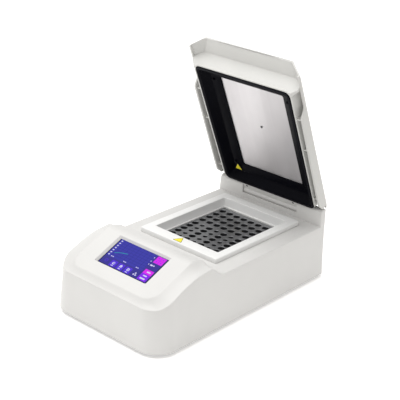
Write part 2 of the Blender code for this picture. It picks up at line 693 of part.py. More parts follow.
def rear():
    """Rear panel with fan, mains inlet, fuse drawer and rocker switch."""
    y1 = BASE_D - 0.0004
    y0 = y1 - REAR_T
    z_mid = REAR_Z0 + REAR_H / 2
    panel = part("rear_panel", box(-REAR_W / 2, REAR_W / 2, y0, y1, REAR_Z0, REAR_Z0 + REAR_H),
                 (0.72, 0.73, 0.72), 0.45)
    slots = bmesh.new()
    pitch, slot_h = 0.0062, 0.0030
    for i in range(7):
        z = z_mid + (i - 3) * pitch
        half = math.sqrt((FAN_SIZE / 2 - 0.001) ** 2 - (z - z_mid) ** 2)
        box(FAN_X - half, FAN_X + half, y0 - 0.01, y1 + 0.01, z - slot_h / 2, z + slot_h / 2, slots)
    combine(panel, "DIFFERENCE", slots)

    fuse_z0 = REAR_Z0 + 0.006
    inlet_z0 = fuse_z0 + FUSE_H + 0.003
    switch_z0 = inlet_z0 + INLET_H + 0.006
    switch_mid = switch_z0 + SWITCH_H / 2
    for half, z0, z1 in ((INLET_W / 2, inlet_z0, inlet_z0 + INLET_H),
                         (INLET_W / 2, fuse_z0, fuse_z0 + FUSE_H),
                         (SWITCH_W / 2, switch_z0, switch_z0 + SWITCH_H)):
        combine(panel, "DIFFERENCE", box(INLET_X - half - GAP, INLET_X + half + GAP,
                                         y0 - 0.01, y1 + 0.01, z0 - GAP, z1 + GAP))

    fan_y1 = y0 - GAP
    fan = part("fan_frame", box(FAN_X - FAN_SIZE / 2, FAN_X + FAN_SIZE / 2, fan_y1 - FAN_T, fan_y1,
                                z_mid - FAN_SIZE / 2, z_mid + FAN_SIZE / 2), BLACK, 0.5)
    bore = FAN_SIZE / 2 - 0.0015
    combine(fan, "DIFFERENCE", rod((FAN_X, fan_y1 - FAN_T - 0.01, z_mid), FAN_T + 0.02, bore, "Y", 24))
    hub_r = 0.011
    strut = box(FAN_X - FAN_SIZE / 2 + 0.0005, FAN_X + FAN_SIZE / 2 - 0.0005,
                fan_y1 - FAN_T, fan_y1 - FAN_T + 0.002, z_mid - 0.003, z_mid + 0.003)
    combine(fan, "UNION", strut)
    rotor_axis = empty("fan_axis", (FAN_X, fan_y1 - FAN_T + 0.003, z_mid))
    rotor = part("fan_rotor", rod((0, 0, 0), FAN_T - 0.005, hub_r, "Y", 20), BLACK, 0.45,
                 parent=rotor_axis)
    blades = bmesh.new()
    reach = bore - 0.0015
    for i in range(7):
        spin = Matrix.Rotation(2 * math.pi * i / 7, 4, "Y")
        pitch_turn = Matrix.Rotation(math.radians(38.0), 4, "X")
        size = Matrix.Diagonal((reach - hub_r + 0.003, 0.0010, 0.0110, 1.0))
        middle = Matrix.Translation(((reach + hub_r - 0.003) / 2, (FAN_T - 0.005) / 2, 0))
        bmesh.ops.create_cube(blades, size=1.0, matrix=spin @ middle @ pitch_turn @ size)
    combine(rotor, "UNION", blades, rotor_axis)

    depth = 0.016
    inlet = part("mains_inlet", box(INLET_X - INLET_W / 2, INLET_X + INLET_W / 2, y1 - depth, y1 + 0.001,
                                    inlet_z0, inlet_z0 + INLET_H), BLACK, 0.4)
    wall = 0.0022
    combine(inlet, "DIFFERENCE", box(INLET_X - INLET_W / 2 + wall, INLET_X + INLET_W / 2 - wall,
                                     y1 - depth + 0.003, y1 + 0.01,
                                     inlet_z0 + wall, inlet_z0 + INLET_H - wall))
    pins = bmesh.new()
    for dx, dz in ((-0.007, -0.002), (0.007, -0.002), (0.0, 0.002)):
        x, z = INLET_X + dx, inlet_z0 + INLET_H / 2 + dz
        box(x - 0.001, x + 0.001, y1 - depth + 0.001, y1 - 0.002, z - 0.002, z + 0.002, pins)
    combine(inlet, "UNION", pins)

    drawer = part("fuse_drawer", box(INLET_X - INLET_W / 2, INLET_X + INLET_W / 2, y1 - 0.012,
                                     y1 + 0.0012, fuse_z0, fuse_z0 + FUSE_H), BLACK, 0.45)
    combine(drawer, "DIFFERENCE", box(INLET_X - 0.005, INLET_X + 0.005, y1 + 0.0004, y1 + 0.003,
                                      fuse_z0 + 0.002, fuse_z0 + 0.0035))

    frame = part("switch_frame", box(INLET_X - SWITCH_W / 2, INLET_X + SWITCH_W / 2, y1 - 0.012,
                                     y1 + 0.0012, switch_z0, switch_z0 + SWITCH_H), BLACK, 0.45)
    rim = 0.0018
    half_h = SWITCH_H / 2 - rim
    combine(frame, "DIFFERENCE", box(INLET_X - SWITCH_W / 2 + rim, INLET_X + SWITCH_W / 2 - rim,
                                     y1 - 0.0095, y1 + 0.01, switch_mid - half_h, switch_mid + half_h))
    axis = empty("switch_axis", (INLET_X, y1 - 0.0035, switch_mid))
    axis.rotation_euler.x = ROCKER_TILT
    width = SWITCH_W / 2 - rim - 0.0004
    face = 0.0042
    tall = half_h - 0.0006
    outline = [(-0.0030, -0.0028), (-0.0030, 0.0028), (face, tall), (face - 0.0007, 0.0),
               (face, -tall)]
    part("switch_rocker", extrude_x(outline, -width, width), (0.05, 0.05, 0.06), 0.35, parent=axis)

    for i, (x, z) in enumerate([(x, z) for z in (REAR_Z0 + 0.005, REAR_Z0 + REAR_H - 0.005)
                                for x in (-REAR_W / 2 + 0.006, REAR_W / 2 - 0.006)], 1):
        part(f"rear_screw_{i}", rod((x, y1 + GAP, z), 0.0014, 0.0026, "Y", 12), STEEL, 0.3, 1.0)


# ---------------------------------------------------------------- lid


def lid_point(a, h):
    """Lid length a and height h, as Y and Z from the hinge axis with the lid closed."""
    return -LID_BACK_TO_HINGE - a, h - MOUTH_BELOW_HINGE


def lid_outline(points):
    return [lid_point(a, h) for a, h in points]


def lid_shell_rings(inset, back, front, low):
    """Cross-sections of the lid's shell, moved inward by inset, from its back to its brim."""
    half = SHELL_HALF_W - inset
    crown = CROWN_HALF_W - inset * 0.45
    rings = []
    corner_back = BRIM_CORNER_BACK
    for a, dip, corner in (
        (back, 0.0030, 0.0), (back + 0.006, 0.0006, 0.0), (0.060, 0.0, 0.0), (0.160, 0.0, 0.0),
        (front - 0.012, 0.0, corner_back * 0.4), (front, 0.0006, corner_back),
    ):
        section = [
            (half, low, a - corner), (half - SHELL_LEAN, SKIRT_H - inset * 0.45 - dip, a - corner),
            (crown, CROWN_H - inset - dip, a), (0.040, TOP_H - inset - dip, a),
            (-0.040, TOP_H - inset - dip, a), (-crown, CROWN_H - inset - dip, a),
            (-half + SHELL_LEAN, SKIRT_H - inset * 0.45 - dip, a - corner), (-half, low, a - corner),
        ]
        rings.append([(x, *lid_point(along, h)) for x, h, along in section])
    return rings


def lid_shell(hinge):
    """Outer shell: faceted top, side skirts with a finger notch, and a brim that overhangs in front."""
    low = -0.0028
    obj = part("lid_shell", loft(lid_shell_rings(0.0, -SHELL_BACK, BRIM_L, low)), WHITE, 0.42,
               parent=hinge)
    hollow = loft(lid_shell_rings(SHELL_WALL, -SHELL_BACK + SHELL_WALL, BRIM_L + 0.02, low - 0.01))
    combine(obj, "DIFFERENCE", hollow, hinge)
    notch = [(SKIRT_FRONT, low - 0.02), (SKIRT_FRONT, 0.0)]
    for i in range(1, 6):
        t = i / 6
        ease = t * t * (3 - 2 * t)
        notch.append((SKIRT_FRONT + 0.017 * t, NOTCH_H * ease))
    notch += [(SKIRT_FRONT + 0.017, NOTCH_H), (BRIM_L + 0.03, NOTCH_H), (BRIM_L + 0.03, low - 0.02)]
    wide = SHELL_HALF_W + 0.02
    combine(obj, "DIFFERENCE", extrude_x(lid_outline(notch), -wide, wide), hinge)
    taper = [(0.030, low - 0.02), (0.030, low - 0.0001), (SKIRT_FRONT + 0.001, 0.0),
             (SKIRT_FRONT + 0.001, low - 0.02)]
    combine(obj, "DIFFERENCE", extrude_x(lid_outline(taper), -wide, wide), hinge)
    heel = [(-0.02, low - 0.02), (0.0140, low - 0.02), (0.0140, low), (0.0034, 0.0036),
            (0.0034, REAR_CLEAR_H), (-0.02, REAR_CLEAR_H)]
    combine(obj, "DIFFERENCE", extrude_x(lid_outline(heel), -wide, wide), hinge)
    return obj


def lid_liner(hinge):
    """White inner moulding: a wall round the black frame, the sloping front face and the side ribs."""
    clear = 0.0004
    inner_w = FRAME_HALF_W + clear
    outer_w = inner_w + LINER_WALL
    y_back, _ = lid_point(0.0, 0.0)
    y_front, _ = lid_point(FRAME_L + clear, 0.0)
    z0 = lid_point(0, 0.0002)[1]
    z1 = lid_point(0, 0.040)[1]
    obj = part("lid_liner", stack([
        (outer_w, y_front - LINER_WALL, y_back, FRAME_R + LINER_WALL, z0),
        (outer_w, y_front - LINER_WALL, y_back, FRAME_R + LINER_WALL, z1),
    ]), WHITE, 0.45, parent=hinge)

    a0 = FRAME_L + clear
    face = [(a0 + 0.0004, 0.0002), (a0 + 0.0088, 0.0225), (BRIM_L - 0.0030, 0.0268)]
    back = [(BRIM_L - 0.0030, 0.0400), (a0 + 0.0070, 0.0400), (a0 - 0.0060, 0.0002)]
    spread = SHELL_HALF_W + 0.01
    web = bmesh.new()
    ring = lid_outline(face + back)
    flare = [inner_w + 0.0020, spread, spread, spread, spread, inner_w + 0.0020]
    rings = [[(side * w, y, z) for w, (y, z) in zip(flare, ring)] for side in (-1, 1)]
    loft(rings, web)
    combine(obj, "UNION", web, hinge)

    for a in (0.022, 0.118, SKIRT_FRONT - 0.0030):
        y, z = lid_point(a, 0.0018)
        rib = box(-SHELL_HALF_W, SHELL_HALF_W, y - 0.0018, y, z, z1)
        combine(obj, "UNION", rib, hinge)

    inner = lid_shell_rings(SHELL_WALL + GAP, -SHELL_BACK + SHELL_WALL + GAP, BRIM_L - 0.0012, -0.004)
    combine(obj, "INTERSECT", loft(inner), hinge)
    opening = stack([
        (inner_w, lid_point(FRAME_L + clear, 0)[0], y_back + 0.02, FRAME_R, z0 - 0.01),
        (inner_w, lid_point(FRAME_L + clear, 0)[0], y_back + 0.02, FRAME_R, z1 + 0.01),
    ])
    combine(obj, "DIFFERENCE", opening, hinge)
    return obj


def lid_frame(hinge):
    """Black frame in the lid's mouth, stepping in towards the lid plate."""
    back_h = FRAME_DEPTH + FRAME_BACK

    def level(side, end, h, radius):
        """One rounded rectangle of the stepped opening, inset by side and end."""
        y_front, z = lid_point(FRAME_L - end, h)
        y_back, _ = lid_point(end, h)
        return (FRAME_HALF_W - side, y_front, y_back, radius, z)

    obj = part("lid_frame", stack([level(0, 0, 0, FRAME_R), level(0, 0, back_h, FRAME_R)]),
               BLACK, 0.35, parent=hinge)
    ring = 0.0054
    ledge = 0.0220
    combine(obj, "DIFFERENCE", stack([
        level(ring - 0.0002, ring - 0.0002, -0.0005, FRAME_R - 0.004),
        level(0.0150, 0.0132, 0.0128, 0.005),
        level(ledge, ledge - 0.0028, 0.0138, 0.004),
        level(PLATE_SIDE, PLATE_END, FRAME_DEPTH, 0.003),
        level(PLATE_SIDE, PLATE_END, back_h + 0.001, 0.003),
    ]), hinge)
    combine(obj, "DIFFERENCE", stack([
        level(0.0008, 0.0008, -0.0005, FRAME_R - 0.0008), level(0.0008, 0.0008, 0.0010, FRAME_R - 0.0008),
    ]), hinge).name = "seal_seat"
    core = stack([
        level(0.0042, 0.0042, -0.0010, FRAME_R - 0.004), level(0.0042, 0.0042, 0.0030, FRAME_R - 0.004),
    ])
    seat = bpy.data.objects["seal_seat"]
    combine(seat, "DIFFERENCE", core, hinge)

    seal = part("lid_seal", stack([
        level(0.0011, 0.0011, -0.0008, FRAME_R - 0.0011), level(0.0011, 0.0011, 0.0007, FRAME_R - 0.0011),
    ]), (0.02, 0.02, 0.025), 0.8, parent=hinge)
    combine(seal, "DIFFERENCE", stack([
        level(0.0039, 0.0039, -0.0020, FRAME_R - 0.0039), level(0.0039, 0.0039, 0.0020, FRAME_R - 0.0039),
    ]), hinge)
    return back_h


def lid_heater(hinge, back_h):
    """Lid plate, heater mat and wool behind the frame's opening, and the plate's probe."""
    grow = 0.006
    h = back_h + GAP
    for name, thick, inset, color, rough, metal in (
        ("lid_plate", PLATE_T, 0.0, (0.72, 0.72, 0.73), 0.3, 1.0),
        ("lid_heater_mat", MAT_T, 0.004, (0.55, 0.22, 0.05), 0.6, 0.0),
        ("lid_insulation", LID_WOOL_T, 0.002, (0.80, 0.78, 0.70), 0.9, 0.0),
    ):
        half = FRAME_HALF_W - PLATE_SIDE + grow - inset
        y_front, z0 = lid_point(FRAME_L - PLATE_END + grow - inset, h)
        y_back, z1 = lid_point(PLATE_END - grow + inset, h + thick)
        part(name, box(-half, half, y_front, y_back, z0, z1), color, rough, metal, hinge)
        h += thick + GAP
    y, z = lid_point(FRAME_L / 2 + 0.008, back_h)
    part("lid_probe", rod((0, y, z - 0.0006), 0.0006, 0.0018, "Z", 12), (0.1, 0.1, 0.1), 0.4, 1.0, hinge)
    for i, (x, a) in enumerate([(x, a) for a in (0.030, FRAME_L - 0.030)
                                for x in (-FRAME_HALF_W + 0.0185, FRAME_HALF_W - 0.0185)], 1):
        y, z = lid_point(a, 0.0122)
        part(f"lid_screw_{i}", rod((x, y, z - 0.0014), 0.0012, 0.0022, "Z", 12), (0.1, 0.1, 0.1),
             0.4, 1.0, hinge)


def hinge_parts(hinge):
    """Hinge tongue with its barrel on the lid, and the two pins that it turns on."""
    outline = []
    for i in range(17):
        angle = math.radians(-115.0 - 245.0 * i / 16)
        outline.append((BARREL_R * math.cos(angle), BARREL_R * math.sin(angle)))
    root = lid_outline([(-0.0062, 0.0122), (-GAP, 0.0126), (-GAP, 0.0008), (-0.0085, 0.0006)])
    barrel = extrude_x([(BARREL_R * math.cos(2 * math.pi * i / 24), BARREL_R * math.sin(2 * math.pi * i / 24))
                        for i in range(24)], -TONGUE_HALF_W, TONGUE_HALF_W)
    obj = part("hinge_tongue", barrel, WHITE, 0.45, parent=hinge)
    arm = extrude_x([(-0.0020, 0.0050)] + root + [(-0.0040, -0.0035)], -TONGUE_HALF_W + 0.0001,
                    TONGUE_HALF_W - 0.0001)
    combine(obj, "UNION", arm, hinge)
    for side, name in ((-1, "hinge_pin_left"), (1, "hinge_pin_right")):
        bore_start = side * TONGUE_HALF_W - PIN_L / 2
        combine(obj, "DIFFERENCE", rod((bore_start, 0, 0), PIN_L, PIN_R + GAP, "X", 12), hinge)
        x = side * (TONGUE_HALF_W - 0.001) - (0 if side > 0 else PIN_L - 0.004)
        part(name, rod((x - (0.007 if side > 0 else -0.003), HINGE_Y, Z_HINGE), PIN_L - 0.002, PIN_R,
                       "X", 12), STEEL, 0.25, 1.0)


# ---------------------------------------------------------------- assembly


def stand_on_origin():
    """Hangs everything on one frame, so that the origin is under the middle of the whole object."""
    graph = bpy.context.evaluated_depsgraph_get()
    spread = []
    for obj in PARTS.objects:
        if obj.type == "MESH":
            shape = obj.evaluated_get(graph)
            spread += [(shape.matrix_world @ v.co).y for v in shape.data.vertices]
    root = bpy.data.objects.new("dry_block_heater", None)
    for obj in list(PARTS.objects) + list(CUTTERS.objects):
        obj.parent = obj.parent or root
    root.location.y = -(min(spread) + max(spread)) / 2
    PARTS.objects.link(root)
    print(f"moved along Y by {root.location.y:.6f} m")


def build():
    casing()
    collar()
    heating_block()
    block_base()
    base_plate()
    feet_and_screws()
    display()
    electronics()
    rear()
    hinge = empty("lid_hinge", (0, HINGE_Y, Z_HINGE))
    hinge.rotation_euler.x = -LID_ANGLE
    lid_shell(hinge)
    lid_liner(hinge)
    back_h = lid_frame(hinge)
    lid_heater(hinge, back_h)
    hinge_parts(hinge)
    stand_on_origin()


build()
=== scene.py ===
"""Looks of the dry block heater: smooth casing, lid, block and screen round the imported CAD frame."""

import json
import math

import bmesh
import bpy
from mathutils import Matrix, Vector


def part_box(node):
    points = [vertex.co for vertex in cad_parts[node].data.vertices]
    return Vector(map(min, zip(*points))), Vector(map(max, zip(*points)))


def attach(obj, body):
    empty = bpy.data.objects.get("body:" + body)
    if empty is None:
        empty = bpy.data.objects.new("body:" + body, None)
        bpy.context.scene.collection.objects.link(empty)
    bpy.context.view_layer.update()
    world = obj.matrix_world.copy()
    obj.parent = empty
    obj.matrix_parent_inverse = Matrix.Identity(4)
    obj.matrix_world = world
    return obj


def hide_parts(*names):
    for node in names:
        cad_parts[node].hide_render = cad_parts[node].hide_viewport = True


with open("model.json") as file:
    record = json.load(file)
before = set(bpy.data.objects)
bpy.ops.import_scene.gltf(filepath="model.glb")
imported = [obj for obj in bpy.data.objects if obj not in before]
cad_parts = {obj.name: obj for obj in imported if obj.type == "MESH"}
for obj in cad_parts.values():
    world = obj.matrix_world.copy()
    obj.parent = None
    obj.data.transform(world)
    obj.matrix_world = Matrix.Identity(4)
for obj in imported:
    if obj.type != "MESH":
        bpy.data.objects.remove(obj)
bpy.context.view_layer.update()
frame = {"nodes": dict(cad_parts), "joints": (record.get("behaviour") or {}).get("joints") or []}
nodes = frame["nodes"]

# ---------------------------------------------------------------- places and sizes, in metres

FRONT_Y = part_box("housing")[0][1]        # the casing's front edge
FOOT_H = 0.005
HINGE = Vector(next(j["pos_m"] for j in frame["joints"] if j["name"] == "lid_hinge"))
LID_ANGLE = math.radians(66.0)
LID_BACK = 0.0155                        # from the hinge axis to the lid frame's back edge
MOUTH_DROP = 0.0037                      # from the hinge axis down to the lid's mouth

BASE_W, BASE_D = 0.213, 0.375
FRONT_R, BACK_R = 0.0345, 0.0085
SIDE_DRAFT, FRONT_DRAFT = 0.056, 0.041
RIM_H, RIDGE_H, DECK_H, BAR_H = 0.0645, 0.0965, 0.0813, 0.1080
RIDGE_Y, DECK_Y, BAR_Y, BAR_R = 0.113, 0.140, 0.361, 0.0055
HINGE_Y, HINGE_H = 0.369, 0.0937
TONGUE_HALF_W = 0.0541

PANEL_HALF_W, PANEL_FRONT_Y, PANEL_FRONT_H = 0.0800, 0.0128, 0.0732
PANEL_RIM_HALF_W, PANEL_RIM_Y = 0.0990, 0.0046
PANEL_TILT = math.radians(23.2)
PANEL_TOP_H, PANEL_FALL, PANEL_R = 0.1007, -0.15, 0.020
PANEL_DROP, PANEL_DROP_CURVE = 0.4, 190.0    # how its face falls behind the ridge
COVE_HOLLOW, COVE_HOLLOW_MORE = 0.15, 0.60   # of the narrow cove round the panel, and added where wide
COVE_NARROW, COVE_SPAN = 0.009, 0.010
COVE_CREASE = 0.07                           # share of the lift over which the cove's upper edge is rounded
SCREEN_W, SCREEN_H, SCREEN_MID_Y, SCREEN_DEPTH, SCREEN_BEVEL = 0.0935, 0.0520, 0.0577, 0.0032, 0.0030
TILT_COS = math.cos(PANEL_TILT)
SCREEN_LOW_Y = SCREEN_MID_Y - SCREEN_H / 2 * TILT_COS
SCREEN_HIGH_Y = SCREEN_MID_Y + SCREEN_H / 2 * TILT_COS

RIM_R = 0.0017                               # rounding between the casing's top and its walls
CORNER_DRAFT = 0.08                          # draft added half way round a front corner
CRADLE_R, CRADLE_LIP, CRADLE_SPAN = 0.0066, 0.0040, 0.0126   # the bar's round recess for the hinge tongue
THROAT_HALF_W, THROAT_FRONT_Y, THROAT_BACK_Y = 0.0633, 0.1651, 0.3280   # the deck's opening
REAR_HALF_W, REAR_LOW_H, REAR_HIGH_H = 0.0853, 0.0067, 0.0713           # the opening for the rear panel
WALL, LOWER_EDGE, WALL_INSIDE_H = 0.0030, 0.0008, 0.0080
TINY = 0.00001                               # places closer than this count as one

CROWN_HALF_W, CROWN_MIDDLE, CROWN_SIDE = 0.0777, 0.040, 0.1015   # half widths across the lid's crown
CROWN_LOW, CROWN_LIFT, CROWN_SPREAD = 0.0170, 0.0017, 0.0030
BRIM_Y, BRIM_START, BRIM_MARGIN, BRIM_CORNER = 0.2556, 0.2440, 0.0009, 0.35
BRIM_OUT, BRIM_OUT_MORE, BRIM_RISE = 0.0019, 0.0042, 0.2

# ---------------------------------------------------------------- materials


class Graph:
    """Builds a material's nodes; coordinates are the object's own, in metres."""

    def __init__(self, name, color, roughness, metallic=0.0, **sockets):
        self.mat = bpy.data.materials.new(name)
        self.mat.use_nodes = True
        self.tree = self.mat.node_tree
        self.shader = self.tree.nodes["Principled BSDF"]
        self.shader.inputs["Base Color"].default_value = (*color, 1.0)
        self.shader.inputs["Roughness"].default_value = roughness
        self.shader.inputs["Metallic"].default_value = metallic
        for socket, value in sockets.items():
            self.shader.inputs[socket.replace("_", " ")].default_value = value
        self.coords = self.tree.nodes.new("ShaderNodeTexCoord").outputs["Object"]

    def add(self, kind, **values):
        node = self.tree.nodes.new(kind)
        for key, value in values.items():
            if key in node.inputs:
                node.inputs[key].default_value = value
            else:
                setattr(node, key, value)
        return node

    def link(self, a, b):
        self.tree.links.new(a, b)

    def noise(self, scale, detail=3.0, stretch=None, rough=0.55):
        node = self.add("ShaderNodeTexNoise", Scale=scale, Detail=detail, Roughness=rough)
        source = self.coords
        if stretch:
            mapping = self.add("ShaderNodeMapping", Scale=stretch[0], Rotation=stretch[1])
            self.link(source, mapping.inputs["Vector"])
            source = mapping.outputs["Vector"]
        self.link(source, node.inputs["Vector"])
        return node.outputs["Fac"]

    def spread(self, value, low, high, fro=0.3, to=0.7):
        """The value remapped to low..high."""
        node = self.add("ShaderNodeMapRange")
        for key, number in zip(("From Min", "From Max", "To Min", "To Max"), (fro, to, low, high)):
            node.inputs[key].default_value = number
        self.link(value, node.inputs["Value"])
        return node.outputs["Result"]

    def tint(self, value, low, high, socket="Base Color"):
        node = self.add("ShaderNodeMix", data_type="RGBA")
        node.inputs[6].default_value = (*low, 1.0)
        node.inputs[7].default_value = (*high, 1.0)
        self.link(value, node.inputs[0])
        self.link(node.outputs[2], self.shader.inputs[socket])

    def rough(self, value):
        self.link(value, self.shader.inputs["Roughness"])

    def bump(self, value, strength, distance):
        node = self.add("ShaderNodeBump", Strength=strength, Distance=distance)
        self.link(value, node.inputs["Height"])
        self.link(node.outputs["Normal"], self.shader.inputs["Normal"])


def moulded(name, color, roughness, grain=1500.0, depth=0.00004, vary=0.02, gloss=0.5):
    """Injection-moulded plastic: a fine spark grain that also varies its gloss, and slow changes of colour.
    """
    g = Graph(name, color, roughness, Specular_IOR_Level=gloss)
    slow = g.noise(14.0, 2.0)
    fine = g.noise(grain, 2.0)
    low, high = [c * (1 - vary) for c in color], [min(c * (1 + vary), 1) for c in color]
    g.tint(g.spread(slow, 0.0, 1.0), low, high)
    g.rough(g.spread(fine, roughness - 0.06, roughness + 0.06))
    g.bump(fine, 0.35, depth)
    return g.mat


def brushed(name, color, roughness, stretch, metallic=1.0, scale=60.0, wear=0.10):
    """Metal with fine parallel streaks."""
    g = Graph(name, color, roughness, metallic)
    streaks = g.noise(scale, 6.0, (stretch, (0.0, 0.0, 0.0)), 0.7)
    cloud = g.noise(9.0, 3.0)
    g.tint(g.spread(cloud, 0.0, 1.0), [c * 0.93 for c in color], [min(c * 1.04, 1) for c in color])
    g.rough(g.spread(streaks, roughness - wear, roughness + wear))
    g.bump(streaks, 0.25, 0.00003)
    return g.mat


WHITE = moulded("white_casing", (0.612, 0.606, 0.592), 0.44)
LID_WHITE = moulded("white_lid", (0.548, 0.545, 0.525), 0.42)
# Brighter than the casing's white: painted light, so the collar's shaded inner walls come out pale.
COLLAR_WHITE_PAINTED_LIGHT = moulded("white_collar_painted_light", (0.745, 0.745, 0.735), 0.46)
GREY = moulded("grey_rear_panel", (0.48, 0.49, 0.49), 0.5, 900.0, 0.00006)
BLACK = moulded("black_fittings", (0.012, 0.012, 0.013), 0.42, 1100.0)
FRAME_BLACK = moulded("black_lid_frame", (0.0012, 0.0013, 0.0032), 0.38, 900.0, 0.00003, 0.15, 0.05)
SEAL = moulded("black_seal", (0.005, 0.005, 0.008), 0.62, 700.0, 0.00006, 0.1, 0.10)
RUBBER = moulded("foot_rubber", (0.018, 0.018, 0.018), 0.85, 900.0, 0.0001, 0.2)
PLATE = brushed("brushed_lid_plate", (0.68, 0.66, 0.67), 0.48, (1.0, 0.02, 0.02), 0.80)
STEEL = brushed("bright_screws", (0.66, 0.66, 0.67), 0.28, (1.0, 1.0, 0.1), scale=400.0)
DARK_STEEL = brushed("black_screws", (0.05, 0.05, 0.055), 0.35, (1.0, 1.0, 0.1), 0.8, 400.0)
ZINC = brushed("zinc_sheet", (0.55, 0.56, 0.57), 0.38, (1.0, 0.05, 1.0), 1.0, 90.0)
ANODISED = brushed("grey_anodised_block", (0.215, 0.218, 0.226), 0.36, (0.04, 1.0, 1.0), 0.72, 700.0, 0.07)
# Near-black painted shade for the wells' walls and feet and the pinholes: the block's own metal, darkened
# where it lies in shade.
WELL_PAINTED_SHADE = moulded("well_painted_shade", (0.016, 0.016, 0.018), 0.6, 900.0)
WOOL = moulded("wool_board", (0.62, 0.58, 0.48), 0.95, 500.0, 0.0003, 0.06)
SILICONE = moulded("silicone_mat", (0.34, 0.06, 0.02), 0.6, 500.0, 0.0001, 0.05)
BOARD = moulded("green_board", (0.01, 0.11, 0.05), 0.4, 250.0, 0.00005, 0.15)
BRASS = brushed("brass_posts", (0.72, 0.55, 0.25), 0.3, (1.0, 1.0, 0.1), 1.0, 400.0)
STICKER = moulded("yellow_sticker", (0.83, 0.72, 0.02), 0.35, 600.0, 0.00002, 0.04)
STICKER_EDGE = moulded("sticker_border", (0.05, 0.045, 0.015), 0.4, 600.0, 0.00002, 0.1)

# ---------------------------------------------------------------- pieces


def lid_matrix():
    """Lid space (x, forward along the lid, up from its mouth, all when shut) to its place at rest."""
    turn = Matrix.Rotation(-LID_ANGLE, 4, "X")
    shut = Matrix(((1, 0, 0, 0), (0, -1, 0, -LID_BACK), (0, 0, 1, -MOUTH_DROP), (0, 0, 0, 1)))
    return Matrix.Translation(HINGE) @ turn @ shut


def at_case(x, y, h):
    """A point given from the casing's front edge and lower edge."""
    return Vector((x, FRONT_Y + y, FOOT_H + h))


def add_object(name, bm, mats, body=None):
    """An object from a bmesh, carried by a body where one is named."""
    mesh = bpy.data.meshes.new(name)
    bm.to_mesh(mesh)
    bm.free()
    obj = bpy.data.objects.new(name, mesh)
    bpy.context.scene.collection.objects.link(obj)
    for mat in mats:
        mesh.materials.append(mat)
    if body:
        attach(obj, body)
    return obj


def shade(bm, limit):
    """Smooth faces, with sharp edges where two meet at more than the given angle."""
    for polygon in bm.faces:
        polygon.smooth = True
    for edge in bm.edges:
        edge.smooth = len(edge.link_faces) == 2 and edge.calc_face_angle(0) < math.radians(limit)


def make(name, bm, mats, body, smooth=32.0):
    """An object with its faces turned outward, smooth up to the given angle."""
    bmesh.ops.recalc_face_normals(bm, faces=bm.faces)
    shade(bm, smooth)
    return add_object(name, bm, mats, body)


def soften(obj, width, segments=3, angle=28.0, smooth=38.0):
    """Rounds an object's edges for good."""
    modifier = obj.modifiers.new("round_edges", "BEVEL")
    modifier.width = width
    modifier.segments = segments
    modifier.limit_method = "ANGLE"
    modifier.angle_limit = math.radians(angle)
    modifier.use_clamp_overlap = True
    modifier.miter_outer = "MITER_ARC"
    graph = bpy.context.evaluated_depsgraph_get()
    rounded = bpy.data.meshes.new_from_object(obj.evaluated_get(graph))
    obj.modifiers.clear()
    bm = bmesh.new()
    bm.from_mesh(rounded)
    shade(bm, smooth)
    bm.to_mesh(rounded)
    bm.free()
    obj.data = rounded
    weighted = obj.modifiers.new("flat_faces_first", "WEIGHTED_NORMAL")
    weighted.keep_sharp = True
    weighted.weight = 80


def refined(node, mat, width, body, segments=3, angle=28.0):
    """A copy of a CAD node with its edges rounded; the node itself is hidden."""
    same_point, flat = 0.00002, math.radians(0.6)
    bm = bmesh.new()
    bm.from_mesh(nodes[node].data)
    bmesh.ops.remove_doubles(bm, verts=bm.verts, dist=same_point)
    bmesh.ops.dissolve_degenerate(bm, edges=bm.edges, dist=TINY)
    bmesh.ops.dissolve_limit(bm, angle_limit=flat, verts=bm.verts, edges=bm.edges)
    obj = make(f"{node}_detail", bm, [mat], body)
    soften(obj, width, segments, angle)
    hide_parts(node)
    return obj


def paint(mat, *names):
    """Gives CAD nodes a better material."""
    for name in names:
        for slot in nodes[name].material_slots:
            slot.material = mat


def disc_points(radius, sides):
    """Points round a flat disc."""
    turns = [2 * math.pi * i / sides for i in range(sides)]
    return [(radius * math.cos(turn), radius * math.sin(turn)) for turn in turns]


# ---------------------------------------------------------------- casing


def catmull(points, steps):
    """A smooth line through the points."""
    ends = [points[0]] + list(points) + [points[-1]]
    line = []
    for a, b, c, d in zip(ends, ends[1:], ends[2:], ends[3:]):
        for i in range(steps):
            t = i / steps
            line.append(tuple(
                0.5 * (2 * q + (r - p) * t + (2 * p - 5 * q + 4 * r - s) * t * t
                       + (3 * q - p - 3 * r + s) * t ** 3)
                for p, q, r, s in zip(a, b, c, d)
            ))
    return line + [tuple(points[-1])]


RISE = [(0.0, RIM_H), (0.0118, 0.0655), (0.018, 0.0678), (0.026, 0.0722), (0.033, 0.0762),
        (0.044, 0.0812), (0.0574, 0.0868), (0.0768, 0.0927), (0.0927, 0.0953), (RIDGE_Y - 0.003, 0.0965)]


def wing_curve(rise_steps=8, fall_steps=12):
    """Outline of the casing's top beside the panel: up to the ridge, then down to the deck."""
    head, knee, foot = (RIDGE_Y + 0.005, RIDGE_H - 0.005), (DECK_Y - 0.0135, DECK_H), (DECK_Y, DECK_H)
    line = catmull(RISE, rise_steps)
    for i in range(fall_steps + 1):
        t = i / fall_steps
        line.append(tuple((1 - t) ** 2 * p + 2 * t * (1 - t) * q + t * t * r
                          for p, q, r in zip(head, knee, foot)))
    return line


CURVE = wing_curve()


def wing_height(y):
    """Height of the casing's top beside the control panel."""
    for (ya, za), (yb, zb) in zip(CURVE, CURVE[1:]):
        if ya <= y <= yb:
            return za + (zb - za) * (y - ya) / (yb - ya)
    return RIM_H if y < 0 else DECK_H


